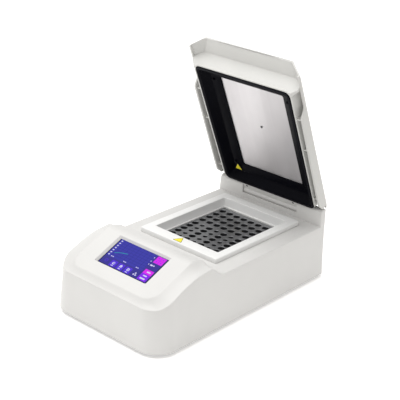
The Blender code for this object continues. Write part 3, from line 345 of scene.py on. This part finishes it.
def panel_height(y):
    """Height of the control panel's face."""
    slope = math.tan(PANEL_TILT)
    crest_y = SCREEN_HIGH_Y + SCREEN_BEVEL
    crest_h = PANEL_FRONT_H + (crest_y - PANEL_FRONT_Y) * slope
    if y <= crest_y:
        return PANEL_FRONT_H + (y - PANEL_FRONT_Y) * slope
    span = RIDGE_Y - crest_y
    t = min((y - crest_y) / span, 1.0)
    ends = crest_h * (2 * t ** 3 - 3 * t * t + 1) + PANEL_TOP_H * (3 * t * t - 2 * t ** 3)
    lean = slope * (t ** 3 - 2 * t * t + t) + PANEL_FALL * (t ** 3 - t * t)
    past = max(y - RIDGE_Y, 0.0)
    return ends + span * lean - past * PANEL_DROP - past ** 2 * PANEL_DROP_CURVE


def inside(x, y, half_w, front, radius):
    """How far a point lies inside a rectangle with round front corners and no back edge."""
    dx = abs(x) - (half_w - radius)
    dy = (front + radius) - y
    if dx > 0 and dy > 0:
        return radius - math.hypot(dx, dy)
    return min(half_w - abs(x), y - front)


def inside_panel(x, y):
    """Share of the panel's lift at a point: 0 at the rim, then a cove, and 1 on the panel's face."""
    to_face = inside(x, y, PANEL_HALF_W, PANEL_FRONT_Y, PANEL_R)
    to_rim = inside(x, y, PANEL_RIM_HALF_W, PANEL_RIM_Y, FRONT_R - PANEL_RIM_Y)
    width = max(to_rim - to_face, 0.001)
    t = max(to_rim, 0.0) / width
    hollow = COVE_HOLLOW + COVE_HOLLOW_MORE * min(max((width - COVE_NARROW) / COVE_SPAN, 0.0), 1.0)
    lift = (1 - hollow) * t + hollow * t * t
    if lift > 1 + COVE_CREASE:
        return 1.0
    if lift > 1 - COVE_CREASE:
        return lift - (lift - 1 + COVE_CREASE) ** 2 / (4 * COVE_CREASE)
    return lift


def screen_frame():
    """Screen space (x across, y up the slope, z out of the panel) to its place."""
    middle = at_case(0, SCREEN_MID_Y, panel_height(SCREEN_MID_Y))
    return Matrix.Translation(middle) @ Matrix.Rotation(PANEL_TILT, 4, "X")


def bar_height(x, y):
    """Height of the hinge bar, with the recess that holds the tongue."""
    if abs(x) < TONGUE_HALF_W:
        lip, off = HINGE_H - CRADLE_LIP, abs(y - HINGE_Y)
        if off >= CRADLE_R:
            return lip
        hollow = HINGE_H - math.sqrt(CRADLE_R ** 2 - off ** 2)
        return min(hollow, lip) if y < HINGE_Y else hollow
    height = BAR_H
    for edge in (BAR_Y + BAR_R - y, y - BASE_D + BAR_R):
        if edge > 0:
            height = BAR_H - BAR_R + math.sqrt(max(BAR_R ** 2 - edge ** 2, 0.0))
    return height


def top_height(x, y):
    """Height of the casing's top at any place."""
    if y > BAR_Y + TINY:
        return bar_height(x, y)
    base = wing_height(y)
    if y < DECK_Y:
        lift = panel_height(y) - base
        if lift > 0:
            base += lift * inside_panel(x, y)
    return base


def on_screen(x, y, margin=0.0):
    """Whether a place lies in the screen's recess."""
    return abs(x) < SCREEN_W / 2 + margin and SCREEN_LOW_Y - margin < y < SCREEN_HIGH_Y + margin


def columns(pitch=0.0026):
    """Fixed X places near the middle, shared by every row of the casing's top."""
    beside_tongue, beside_throat = 0.00002, 0.0027
    marks = [SCREEN_W / 2, SCREEN_W / 2 + SCREEN_BEVEL, TONGUE_HALF_W - beside_tongue,
             TONGUE_HALF_W + beside_tongue, THROAT_HALF_W, THROAT_HALF_W + beside_throat]
    right = [0.0]
    for start, mark in zip([0.0] + marks, marks):
        count = max(1, round((mark - start) / pitch))
        right += [start + (mark - start) * i / count for i in range(1, count + 1)]
    return [-x for x in reversed(right[1:])] + right


def top_rows():
    """Y of each row across the casing's top, close together where the top curves."""
    corner_steps, bar_steps, cradle_steps = 24, 6, 14
    curved_pitch, flat_pitch, least = 0.0013, 0.012, 0.00006
    first, last = FRONT_DRAFT * RIM_H + RIM_R, BASE_D - RIM_R
    bevel = SCREEN_BEVEL * TILT_COS
    marks = [first, SCREEN_LOW_Y - bevel, SCREEN_LOW_Y, SCREEN_HIGH_Y, SCREEN_HIGH_Y + bevel,
             RIDGE_Y, DECK_Y, THROAT_FRONT_Y, THROAT_BACK_Y, BAR_Y]
    bar_foot = BAR_Y + 0.00004
    ys = {bar_foot}
    for i in range(1, corner_steps):
        ys.add(FRONT_R - (FRONT_R - first) * math.cos(math.radians(90.0 * i / corner_steps)))
    for a, b in zip(marks, marks[1:]):
        count = max(1, round((b - a) / (curved_pitch if b <= DECK_Y else flat_pitch)))
        ys.update(a + (b - a) * i / count for i in range(count + 1))
    for i in range(1, bar_steps + 1):
        angle = math.radians(90.0 * i / bar_steps)
        ys.add(BAR_Y + BAR_R * (1 - math.cos(angle)))
        ys.add(BASE_D - BAR_R + (BAR_R - RIM_R) * math.sin(angle))
    ys.update(HINGE_Y - CRADLE_R + CRADLE_SPAN * i / cradle_steps for i in range(cradle_steps + 1))

    rows = []
    for y in sorted(ys):
        close = rows and y - rows[-1] < least
        if close and y != bar_foot and min(abs(y - m) for m in marks) >= TINY:
            continue
        if close and min(abs(rows[-1] - m) for m in marks) > TINY:
            rows.pop()
        rows.append(y)
    return [y for y in rows if first - TINY <= y < last - 0.0002] + [last]


def row_end(y, h):
    """Where a row ends: its X, then the wall's foot, outward direction and draft there."""
    if y < FRONT_R:
        low, high = 0.0, math.pi / 2
        for _ in range(36):
            turn = (low + high) / 2
            sin_t, cos_t = math.sin(turn), math.cos(turn)
            draft = FRONT_DRAFT * cos_t ** 2 + SIDE_DRAFT * sin_t ** 2
            draft += CORNER_DRAFT * (sin_t * cos_t) ** 2
            if FRONT_R - cos_t * (FRONT_R - draft * h - RIM_R) < y:
                low = turn
            else:
                high = turn
        foot = (BASE_W / 2 - FRONT_R + FRONT_R * sin_t, FRONT_R - FRONT_R * cos_t)
        outward = (sin_t, -cos_t)
    elif y > BASE_D - BACK_R:
        sin_t = min(1.0, (y - (BASE_D - BACK_R)) / (BACK_R - RIM_R))
        cos_t = math.sqrt(max(1 - sin_t ** 2, 0.0))
        draft = SIDE_DRAFT * cos_t
        foot = (BASE_W / 2 - BACK_R + BACK_R * cos_t, BASE_D - BACK_R + BACK_R * sin_t)
        outward = (cos_t, sin_t)
    else:
        draft, foot, outward = SIDE_DRAFT, (BASE_W / 2, y), (1.0, 0.0)
    return foot[0] - outward[0] * (draft * h + RIM_R), foot, outward, draft


def casing_top(bm):
    """The casing's top as rows of points, and how the wall stands at each row's end."""
    side_steps, beside_panel = 26, 1.0
    rows, inner = top_rows(), columns()
    edge = inner[-1]
    grid, ends = [], []
    for y in rows:
        x_end, *end = row_end(y, top_height(beside_panel, y))
        right = [edge + (x_end - edge) * i / side_steps for i in range(1, side_steps + 1)]
        line = []
        for x in [-x for x in reversed(right)] + inner + right:
            sunk = on_screen(x, y, TINY)
            height = panel_height(y) - SCREEN_DEPTH / TILT_COS if sunk else top_height(x, y)
            line.append(bm.verts.new(at_case(x, y, height)))
        grid.append(line)
        ends.append(end)
    for j, (near, far) in enumerate(zip(grid, grid[1:])):
        y = (rows[j] + rows[j + 1]) / 2
        for k in range(len(near) - 1):
            x = (near[k].co.x + near[k + 1].co.x) / 2
            in_throat = abs(x) < THROAT_HALF_W + TINY and THROAT_FRONT_Y < y < THROAT_BACK_Y
            if not in_throat and not on_screen(x, y):
                bm.faces.new((near[k], near[k + 1], far[k + 1], far[k]))
    return grid, ends


def casing():
    """The casing as one skin: top surface in rows, a rounded rim, and drafted walls."""
    bm = bmesh.new()
    grid, ends = casing_top(bm)

    loop = []
    (foot_x, foot_y), (out_x, out_y), draft = ends[0]
    loop.append((grid[0][0], (-foot_x, foot_y), (-out_x, out_y), draft))
    loop += [(vert, (vert.co.x, 0.0), (0.0, -1.0), FRONT_DRAFT) for vert in grid[0][1:-1]]
    loop.append((grid[0][-1], (foot_x, foot_y), (out_x, out_y), draft))
    loop += [(line[-1], *end) for line, end in zip(grid[1:-1], ends[1:-1])]
    loop += [(vert, (vert.co.x, BASE_D), (0.0, 1.0), 0.0) for vert in reversed(grid[-1])]
    for line, ((foot_x, foot_y), (out_x, out_y), draft) in reversed(list(zip(grid[1:-1], ends[1:-1]))):
        loop.append((line[0], (-foot_x, foot_y), (-out_x, out_y), draft))

    rings = [[entry[0] for entry in loop]]
    tops = [vert.co.z - FOOT_H for vert in rings[0]]

    def ring(height_of, out):
        """A ring of the wall, at a height worked out from the top's and moved out from the drafted face."""
        line = []
        for (_, foot, outward, lean), top in zip(loop, tops):
            h = height_of(top)
            x, y = (place + way * (out - lean * h) for place, way in zip(foot, outward))
            line.append(bm.verts.new(at_case(x, y, h)))
        rings.append(line)

    for angle in (math.radians(22.5 * i) for i in (1, 2, 3, 4)):
        ring(lambda top, a=angle: top - RIM_R * (1 - math.cos(a)), -RIM_R * (1 - math.sin(angle)))
    high_wall = REAR_HIGH_H + 0.004
    ring(lambda top: REAR_HIGH_H if top > high_wall else (top - RIM_R) * 0.9, 0.0)
    upper_edge = rings[-1]
    ring(lambda top: REAR_LOW_H, 0.0)
    ring(lambda top: LOWER_EDGE, 0.0)
    ring(lambda top: 0.0, -LOWER_EDGE)
    ring(lambda top: 0.0, -WALL)
    ring(lambda top: WALL_INSIDE_H, -WALL)
    for upper, lower in zip(rings, rings[1:]):
        for i in range(len(loop)):
            n = (i + 1) % len(loop)
            on_back = loop[i][2] == (0.0, 1.0) and loop[n][2] == (0.0, 1.0)
            middle = abs(upper[i].co.x + upper[n].co.x) / 2
            if not (upper is upper_edge and on_back and middle < REAR_HALF_W):
                bm.faces.new((upper[i], upper[n], lower[n], lower[i]))
    obj = make("casing_skin", bm, [WHITE], "base", 34.0)
    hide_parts("housing")


casing()

# ---------------------------------------------------------------- collar and heating block


def outline(half_w, y0, y1, radius, steps=6):
    """A rectangle with round corners, anticlockwise from its right front corner."""
    points = []
    for x, y, start in ((half_w - radius, y0 + radius, -90), (half_w - radius, y1 - radius, 0),
                        (radius - half_w, y1 - radius, 90), (radius - half_w, y0 + radius, 180)):
        for i in range(steps + 1):
            a = math.radians(start + 90.0 * i / steps)
            points.append((x + radius * math.cos(a), y + radius * math.sin(a)))
    return points


def collar():
    """White collar: a rim on the deck with rounded edges, and a sleeve that narrows at the block."""
    (_, y0, z0), (half_w, y1, z1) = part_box("block_collar")
    rim = DECK_H + FOOT_H + 0.0003
    block_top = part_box("heating_block")[1][2]
    mouth_w, front, back = 0.0611, y0 + 0.0193, y1 - 0.0162
    sleeve, outer_edge, inner_edge = 0.0022, 0.0020, 0.0010
    rim_corner, mouth_corner, sleeve_corner = 0.0032, 0.0024, 0.0016
    lip = (  # in from the sides, in from the ends, corner, above the block
        (0.0008, 0.0008, 0.0020, 0.0022),
        (0.0012, 0.0010, 0.0020, 0.0016),
        (0.0028, 0.0028, 0.0016, 0.0012),
    )

    outside = (mouth_w + sleeve, front - sleeve, back + sleeve, sleeve_corner)
    rings = [(*outside, z0), (*outside, rim), (half_w, y0, y1, rim_corner, rim),
             (half_w, y0, y1, rim_corner, z1 - outer_edge)]
    for a in (math.radians(18.0 * i) for i in range(1, 6)):
        cut = outer_edge * (1 - math.cos(a))
        rings.append((half_w - cut, y0 + cut, y1 - cut, rim_corner, z1 - outer_edge * (1 - math.sin(a))))
    for a in (math.radians(22.5 * i) for i in range(5)):
        cut = inner_edge * (1 - math.sin(a))
        height = z1 - inner_edge * (1 - math.cos(a))
        rings.append((mouth_w + cut, front - cut, back + cut, mouth_corner, height))
    for side, end, corner, above in lip:
        rings.append((mouth_w - side, front + end, back - end, corner, block_top + above))
    rings.append((*rings[-1][:4], z0))

    bm = bmesh.new()
    lines = [[bm.verts.new((x, y, z)) for x, y in outline(w, a, b, r)] for w, a, b, r, z in rings]
    for line, after in zip(lines, lines[1:] + lines[:1]):
        for i in range(len(line)):
            n = (i + 1) % len(line)
            bm.faces.new((line[i], line[n], after[n], after[i]))
    obj = make("collar", bm, [COLLAR_WHITE_PAINTED_LIGHT], "base", 30.0)
    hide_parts("block_collar")


collar()

WELL_PITCH, REAR_PITCH, FRONT_PITCH, ZONE_GAP, BACK_MARGIN = 0.0143, 0.0158, 0.0129, 0.0172, 0.0116
WELL_COLUMNS, REAR_ROWS, FRONT_ROWS = 8, 4, 6
LARGE_R, SMALL_R, CHAMFER, WELL_SIDES = 0.0053, 0.0036, 0.0004, 24
TIP_SHARE = 0.35                                             # a large well's foot, as a share of its radius
LARGE_STRAIGHT, LARGE_DEEP, SMALL_DEEP = 0.020, 0.036, 0.028
PINHOLES, PINHOLE_R = ((-0.038, 0.2850), (-0.039, 0.2250), (-0.005, 0.2250), (0.030, 0.2130)), 0.0011


def cell_edge(ux, uy, cell, cx, cy):
    """Where a line from a well's middle meets the edge of its cell."""
    x0, y0, x1, y1 = cell
    reach = min((x1 - cx if ux > 0 else cx - x0) / max(abs(ux), 1e-9),
                (y1 - cy if uy > 0 else cy - y0) / max(abs(uy), 1e-9))
    return cx + ux * reach, cy + uy * reach


def well(bm, vert, cell, cx, cy, large, top):
    """One well: the face round it out to its cell's edge, its chamfer, then its wall and its foot in painted
    shade.
    """
    x0, y0, x1, y1 = cell
    radius = LARGE_R if large else SMALL_R
    turns = [2 * math.pi * (i + 0.5) / WELL_SIDES for i in range(WELL_SIDES)]
    circle = [(math.cos(turn), math.sin(turn)) for turn in turns]
    outer = [cell_edge(ux, uy, cell, cx, cy) for ux, uy in circle]
    reach = radius + CHAMFER
    previous = [vert(cx + ux * reach, cy + uy * reach, top) for ux, uy in circle]
    rest = [vert(x, y, top) for x, y in outer]
    for i in range(WELL_SIDES):
        n = (i + 1) % WELL_SIDES
        (ax, ay), (bx, by) = outer[i], outer[n]
        ring = [rest[i]]
        if abs(ax - bx) > 1e-6 and abs(ay - by) > 1e-6:
            corner = vert(x1 if ax > cx else x0, y1 if ay > cy else y0, top)
            if corner not in (rest[i], rest[n]):
                ring.append(corner)
        bm.faces.new(ring + [rest[n], previous[n], previous[i]])
    levels = [(radius, top - CHAMFER)]
    if large:
        levels += [(radius, top - LARGE_STRAIGHT), (radius * TIP_SHARE, top - LARGE_DEEP)]
    else:
        levels += [(radius, top - SMALL_DEEP)]
    # Every wall below the chamfer, and the foot, gets the painted shade (material 1).
    for level, (width, z) in enumerate(levels):
        ring = [bm.verts.new((cx + ux * width, cy + uy * width, z)) for ux, uy in circle]
        for i in range(WELL_SIDES):
            n = (i + 1) % WELL_SIDES
            wall = bm.faces.new((previous[i], previous[n], ring[n], ring[i]))
            wall.material_index = 1 if level else 0
        previous = ring
    bm.faces.new(previous).material_index = 1


def block():
    """Heating block with round, chamfered wells, each in its own cell of the top face, and its pinholes as
    discs of painted shade.
    """
    lo, hi = (Vector(end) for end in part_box("heating_block"))
    top = hi.z
    rows = [hi.y - BACK_MARGIN - i * REAR_PITCH for i in range(REAR_ROWS)]
    rows += [rows[-1] - ZONE_GAP - i * FRONT_PITCH for i in range(FRONT_ROWS)]
    half = WELL_COLUMNS / 2
    xs = [lo.x] + [(c - half) * WELL_PITCH for c in range(WELL_COLUMNS + 1)] + [hi.x]
    ys = [hi.y, rows[0] + REAR_PITCH / 2] + [(a + b) / 2 for a, b in zip(rows, rows[1:])]
    ys += [rows[-1] - FRONT_PITCH / 2, lo.y]

    bm = bmesh.new()
    index = {}

    def vert(x, y, z):
        """The vertex at a place, made once."""
        key = (round(x, 6), round(y, 6), round(z, 6))
        if key not in index:
            index[key] = bm.verts.new((x, y, z))
        return index[key]

    for column, (x0, x1) in enumerate(zip(xs, xs[1:])):
        for row, (y1, y0) in enumerate(zip(ys, ys[1:])):
            if column in (0, WELL_COLUMNS + 1) or row in (0, len(rows) + 1):
                bm.faces.new([vert(x, y, top) for x, y in ((x0, y0), (x1, y0), (x1, y1), (x0, y1))])
                continue
            large = row <= REAR_ROWS or column % 2 == 1
            cx = (column - 0.5 - half) * WELL_PITCH
            well(bm, vert, (x0, y0, x1, y1), cx, rows[row - 1], large, top)
    edge = [(lo.x, lo.y), (hi.x, lo.y), (hi.x, hi.y), (lo.x, hi.y)]
    for (ax, ay), (bx, by) in zip(edge, edge[1:] + edge[:1]):
        corners = ((ax, ay, top - CHAMFER), (bx, by, top - CHAMFER), (bx, by, lo.z), (ax, ay, lo.z))
        bm.faces.new([bm.verts.new(corner) for corner in corners])
    # The pinholes are flat dark discs just above the top face: painted shade, not holes.
    lift = 0.00006
    for x, y in PINHOLES:
        points = [(x + dx, FRONT_Y + y + dy, top + lift) for dx, dy in disc_points(PINHOLE_R, 12)]
        bm.faces.new([bm.verts.new(point) for point in points]).material_index = 1
    obj = make("tube_block", bm, [ANODISED, WELL_PAINTED_SHADE], "base", 30.0)
    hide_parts("heating_block")


block()

# ---------------------------------------------------------------- lid

lid = refined("lid_shell", LID_WHITE, 0.0006, "lid", 2, 14.0)


def fill_crown(obj):
    """Lifts the crown's two long edges level with its middle and moves them a little outward."""
    to_lid = lid_matrix().inverted()
    for vert in obj.data.vertices:
        x, along, height = to_lid @ vert.co
        if height < CROWN_LOW:
            continue
        if abs(x) < CROWN_HALF_W:
            share = (abs(x) - CROWN_MIDDLE) / (CROWN_HALF_W - CROWN_MIDDLE)
        else:
            share = (CROWN_SIDE - abs(x)) / (CROWN_SIDE - CROWN_HALF_W)
        share = min(max(share, 0.0), 1.0)
        x += math.copysign(CROWN_SPREAD * share, x)
        vert.co = lid_matrix() @ Vector((x, along, height + CROWN_LIFT * share))
    obj.data.update()


fill_crown(lid)
liner = refined("lid_liner", LID_WHITE, 0.0007, "lid", 3, 20.0)
fill_crown(liner)


def reach_brim(obj):
    """Draws the liner's front edge out along the brim, so that it ends in one straight line."""
    to_lid = lid_matrix().inverted()
    for vert in obj.data.vertices:
        x, along, height = to_lid @ vert.co
        if height < CROWN_LOW or along < BRIM_START:
            continue
        share = min(max((abs(x) - CROWN_MIDDLE) / (CROWN_HALF_W - CROWN_MIDDLE), 0.0), 1.0)
        past_crown = max(abs(x) - CROWN_HALF_W - CROWN_SPREAD, 0.0)
        limit = BRIM_Y - BRIM_MARGIN - past_crown * BRIM_CORNER
        gain = max(min(along + BRIM_OUT + BRIM_OUT_MORE * share, limit) - along, 0.0)
        vert.co = lid_matrix() @ Vector((x, along + gain, height + BRIM_RISE * gain))
    obj.data.update()


reach_brim(liner)
tongue = refined("hinge_tongue", WHITE, 0.0006, "lid", 3, 30.0)
black_frame = refined("lid_frame", FRAME_BLACK, 0.0009, "lid", 3, 24.0)
seal = refined("lid_seal", SEAL, 0.0006, "lid", 3, 40.0)
paint(PLATE, "lid_plate")

# ---------------------------------------------------------------- screen


def lit(name, color, strength=1.0):
    """A lit part of the display behind smooth glass."""
    g = Graph(name, [c * 0.05 for c in color], 0.12, Emission_Strength=strength, Specular_IOR_Level=0.05)
    g.shader.inputs["Emission Color"].default_value = (*color, 1.0)
    cells = g.noise(1800.0, 1.0)
    g.tint(cells, [c * 0.93 for c in color], [min(1, c * 1.05) for c in color], "Emission Color")
    return g.mat


def screen():
    """Cover glass with a lit picture: a chart, buttons and readouts without any lettering."""
    colors = {
        "edge": (0.006, 0.008, 0.060), "field": (0.030, 0.030, 0.36), "grid": (0.016, 0.018, 0.20),
        "trace": (0.02, 0.26, 0.38), "pale": (0.62, 0.60, 0.86), "button": (0.070, 0.020, 0.62),
        "dim": (0.030, 0.024, 0.26), "pink": (0.66, 0.014, 0.80), "violet": (0.21, 0.010, 0.78),
    }
    names = [*colors, "glass"]
    mats = [lit(f"screen_{name}", color) for name, color in colors.items()]
    mats.append(moulded("screen_glass", (0.002, 0.003, 0.012), 0.10, 300.0, 0.000005, 0.05, 0.22))
    bm = bmesh.new()
    place = screen_frame() @ Matrix.Translation((0, 0, -SCREEN_DEPTH + 0.0001))
    w, h = SCREEN_W, SCREEN_H

    def shape(points, mat, layer):
        """A flat shape on the screen, in fractions of its width and height."""
        z = 0.00002 * layer
        verts = [bm.verts.new(place @ Vector(((u - 0.5) * w, (v - 0.5) * h, z))) for u, v in points]
        bm.faces.new(verts).material_index = names.index(mat)

    def rect(u0, v0, u1, v1, mat, layer, r=0.0):
        """A rectangle, with round corners where a radius is given."""
        if not r:
            shape([(u0, v0), (u1, v0), (u1, v1), (u0, v1)], mat, layer)
            return
        pts = []
        for cu, cv, start in ((u1 - r, v0 + r * w / h, -90), (u1 - r, v1 - r * w / h, 0),
                              (u0 + r, v1 - r * w / h, 90), (u0 + r, v0 + r * w / h, 180)):
            for i in range(4):
                a = math.radians(start + 30 * i)
                pts.append((cu + r * math.cos(a), cv + r * w / h * math.sin(a)))
        shape(pts, mat, layer)

    def disc(u, v, radius, mat, layer, sides=14):
        shape([(u + du, v + dv * w / h) for du, dv in disc_points(radius, sides)], mat, layer)

    rect(0.004, 0.006, 0.996, 0.994, "edge", 1)
    rect(0.018, 0.030, 0.982, 0.972, "field", 2)
    rect(0.018, 0.030, 0.780, 0.315, "dim", 3)
    rect(0.770, 0.030, 0.982, 0.972, "dim", 3)
    for i in range(9):
        u = 0.115 + i * 0.080
        rect(u - 0.0022, 0.40, u + 0.0022, 0.955, "grid", 4)
    for i in range(7):
        v = 0.405 + i * 0.090
        rect(0.100, v - 0.004, 0.765, v + 0.004, "grid", 4)
    trace = [(0.115, 0.475), (0.15, 0.505), (0.19, 0.540), (0.23, 0.566), (0.28, 0.585), (0.335, 0.610)]
    for (u0, v0), (u1, v1) in zip(trace, trace[1:]):
        shape([(u0, v0 - 0.012), (u1, v1 - 0.012), (u1, v1 + 0.012), (u0, v0 + 0.012)], "trace", 6)
    for i in range(7):
        v = 0.372 + i * 0.090
        rect(0.040, v - 0.012, 0.074, v + 0.012, "pale", 6, 0.004)
        rect(0.050, v - 0.024, 0.064, v + 0.024, "pale", 6, 0.004)
    for u in (0.143, 0.402, 0.6625):
        rect(u - 0.030, 0.336, u - 0.004, 0.362, "pale", 6, 0.004)
        rect(u + 0.004, 0.336, u + 0.026, 0.362, "pale", 6, 0.004)
    disc(0.112, 0.165, 0.030, "button", 5)
    disc(0.112, 0.165, 0.021, "dim", 6)
    for i, u in enumerate((0.265, 0.4147, 0.564)):
        rect(u - 0.060, 0.045, u + 0.060, 0.262, "button", 5, 0.010)
        if i == 0:
            disc(u, 0.165, 0.026, "pale", 6)
            disc(u + 0.006, 0.170, 0.013, "button", 7)
        elif i == 1:
            rect(u - 0.022, 0.120, u + 0.022, 0.185, "pale", 6, 0.004)
            shape([(u - 0.028, 0.185), (u + 0.028, 0.185), (u, 0.232)], "pale", 6)
            rect(u - 0.008, 0.120, u + 0.008, 0.155, "button", 7)
        else:
            rect(u - 0.024, 0.130, u + 0.024, 0.220, "pale", 6, 0.006)
            rect(u - 0.014, 0.150, u + 0.014, 0.165, "button", 7)
            rect(u - 0.014, 0.180, u + 0.014, 0.195, "button", 7)
        rect(u - 0.022, 0.070, u + 0.022, 0.094, "pale", 6, 0.004)
    for i in range(3):
        a = math.radians(90 + 120 * i)
        du, dv = math.cos(a), math.sin(a) * w / h
        disc(0.7186 + 0.022 * du, 0.140 + 0.022 * dv, 0.015, "pale", 6, 8)
    disc(0.7186, 0.140, 0.007, "button", 7, 8)
    rect(0.800, 0.705, 0.968, 0.955, "pink", 5)
    for u in (0.842, 0.926):
        for v in (0.768, 0.893):
            disc(u, v, 0.011, "violet", 6, 8)
    rect(0.881, 0.705, 0.887, 0.955, "violet", 6)
    rect(0.800, 0.826, 0.968, 0.834, "violet", 6)
    for v in (0.715, 0.855):
        rect(0.752, v - 0.016, 0.768, v + 0.016, "pale", 6, 0.004)
    rect(0.762, 0.585, 0.776, 0.622, "pale", 6, 0.004)
    rect(0.800, 0.580, 0.850, 0.628, "pale", 6, 0.008)
    rect(0.858, 0.590, 0.884, 0.628, "pale", 6, 0.006)
    rect(0.800, 0.285, 0.968, 0.440, "pink", 5)
    rect(0.855, 0.340, 0.925, 0.382, "pale", 6, 0.006)
    rect(0.800, 0.045, 0.968, 0.285, "violet", 5)
    rect(0.850, 0.200, 0.922, 0.240, "pale", 6, 0.006)
    rect(0.832, 0.090, 0.930, 0.138, "pale", 6, 0.006)
    lap, thick = 0.0004, 0.0008
    half_w, half_h = w / 2 + lap, h / 2 + lap
    ring = [(-half_w, -half_h), (half_w, -half_h), (half_w, half_h), (-half_w, half_h)]
    upper = [bm.verts.new(place @ Vector((x, y, 0.0))) for x, y in ring]
    lower = [bm.verts.new(place @ Vector((x, y, -thick))) for x, y in ring]
    slab = [bm.faces.new(upper), bm.faces.new(list(reversed(lower)))]
    slab += [bm.faces.new((lower[i], lower[(i + 1) % 4], upper[(i + 1) % 4], upper[i])) for i in range(4)]
    for polygon in slab:
        polygon.material_index = names.index("glass")
    obj = add_object("touch_screen", bm, mats, "base")
    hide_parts("touch_window")


screen()

# ---------------------------------------------------------------- stickers


def sticker(name, place, size, body):
    """A plain yellow triangle with round corners and a dark border."""
    bm = bmesh.new()

    def triangle(radius, corner, z, mat):
        """A flat triangle with round corners, pointing up."""
        points = []
        for mid in (math.radians(90 + 120 * i) for i in range(3)):
            cx, cy = (radius - 2 * corner) * math.cos(mid), (radius - 2 * corner) * math.sin(mid)
            for a in (mid + math.radians(-60 + 30 * k) for k in range(5)):
                points.append((cx + corner * math.cos(a), cy + corner * math.sin(a), z))
        bm.faces.new([bm.verts.new(place @ Vector(point)) for point in points]).material_index = mat

    triangle(size, size * 0.10, 0.00012, 1)
    triangle(size * 0.86, size * 0.06, 0.00016, 0)
    add_object(name, bm, [STICKER, STICKER_EDGE], body)


def on_lid(x, along, up):
    """Space with its origin at a place in the lid and its z pointing out of the lid's mouth."""
    return lid_matrix() @ Matrix.Translation((x, along, up)) @ Matrix.Rotation(math.pi, 4, "Y")


collar_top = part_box("block_collar")[1][2]
sticker("collar_sticker", Matrix.Translation((-0.0035, FRONT_Y + 0.1562, collar_top)), 0.0100, "base")
sticker("lid_sticker", on_lid(-0.0672, 0.0185, 0.0124), 0.0086, "lid")


def tongue_screws():
    """Two small screw heads, flush with the tongue's face."""
    half_gap, along, up, radius, lift = 0.046, -0.0035, 0.0006, 0.0017, 0.00012
    bm = bmesh.new()
    for x in (-half_gap, half_gap):
        place = on_lid(x, along, up)
        bm.faces.new([bm.verts.new(place @ Vector((*point, lift))) for point in disc_points(radius, 16)])
    make("tongue_screws", bm, [DARK_STEEL], "lid")


tongue_screws()

# ---------------------------------------------------------------- small fittings

for i in range(1, 5):
    paint(RUBBER, f"foot_{i}")
    paint(STEEL, f"base_screw_{i}", f"rear_screw_{i}")
    paint(FRAME_BLACK, f"lid_screw_{i}")
    paint(BRASS, f"board_post_{i}")
paint(ZINC, "base_plate", "power_supply", "heater_plate")
paint(DARK_STEEL, "lid_probe")
paint(STEEL, "temperature_probe", "hinge_pin_left", "hinge_pin_right")
paint(WOOL, "block_insulation", "lid_insulation")
paint(SILICONE, "heater_mat", "lid_heater_mat")
paint(BOARD, "display_board", "main_board")
paint(BLACK, "display_module")
for node, width, body in (
    ("mains_inlet", 0.0005, "base"), ("fuse_drawer", 0.0005, "fuse_holder"), ("switch_frame", 0.0005, "base"),
    ("switch_rocker", 0.0005, "rocker"), ("fan_frame", 0.0006, "base"), ("fan_rotor", 0.0003, "fan"),
):
    refined(node, BLACK, width, body, 3, 28.0)
paint(GREY, "rear_panel")

# ---------------------------------------------------------------- camera, floor and light


def camera():
    """The camera, rolled a little, in front of the right front corner."""
    azimuth, elevation, roll = math.radians(40.54), math.radians(23.30), math.radians(3.03)
    back = Vector((math.sin(azimuth) * math.cos(elevation), -math.cos(azimuth) * math.cos(elevation),
                   math.sin(elevation)))
    right = (-back).cross(Vector((0, 0, 1))).normalized()
    up = right.cross(-back)
    across = math.cos(roll) * right + math.sin(roll) * up
    upward = math.cos(roll) * up - math.sin(roll) * right
    data = bpy.data.cameras.new("camera")
    data.sensor_width = 36.0
    data.lens = 99.24
    cam = bpy.data.objects.new("camera", data)
    spot = Vector((0.9547, -0.9221 + FRONT_Y, 0.7743 + FOOT_H))
    cam.matrix_world = Matrix((
        (across.x, upward.x, back.x, spot.x), (across.y, upward.y, back.y, spot.y),
        (across.z, upward.z, back.z, spot.z), (0, 0, 0, 1)))
    bpy.context.scene.collection.objects.link(cam)
    bpy.context.scene.camera = cam


def floor():
    """A pale floor that meets the horizon."""
    bm = bmesh.new()
    reach = 6.0
    bm.faces.new([bm.verts.new(p) for p in (
        (-reach, -reach, 0), (reach, -reach, 0), (reach, reach, 0), (-reach, reach, 0))])
    pale = Graph("pale_floor", (0.93, 0.93, 0.93), 0.9, Emission_Strength=0.30)
    pale.shader.inputs["Emission Color"].default_value = (1.0, 0.98, 0.95, 1.0)
    obj = add_object("floor", bm, [pale.mat])


def lamp(name, place, aim, size, watts):
    """A rectangular softbox that points at a place."""
    data = bpy.data.lights.new(name, "AREA")
    data.shape = "RECTANGLE"
    data.size, data.size_y = size
    data.energy = watts
    obj = bpy.data.objects.new(name, data)
    obj.location = place
    obj.rotation_mode = "QUATERNION"
    obj.rotation_quaternion = (Vector(aim) - Vector(place)).to_track_quat("-Z", "Y")
    bpy.context.scene.collection.objects.link(obj)


camera()
floor()
world = bpy.data.worlds.new("studio")
world.use_nodes = True
sky = world.node_tree.nodes["Background"]
sky.inputs["Color"].default_value = (1.0, 0.99, 0.975, 1.0)
sky.inputs["Strength"].default_value = 0.70
bpy.context.scene.world = world
lamp("top_softbox", (-0.25, -0.15, 1.6), (0, 0, 0.1), (1.6, 1.6), 23.0)
lamp("front_left_softbox", (-1.4, -1.5, 0.9), (0, 0, 0.1), (1.2, 1.2), 2.0)
bpy.context.scene.view_settings.view_transform = "Standard"
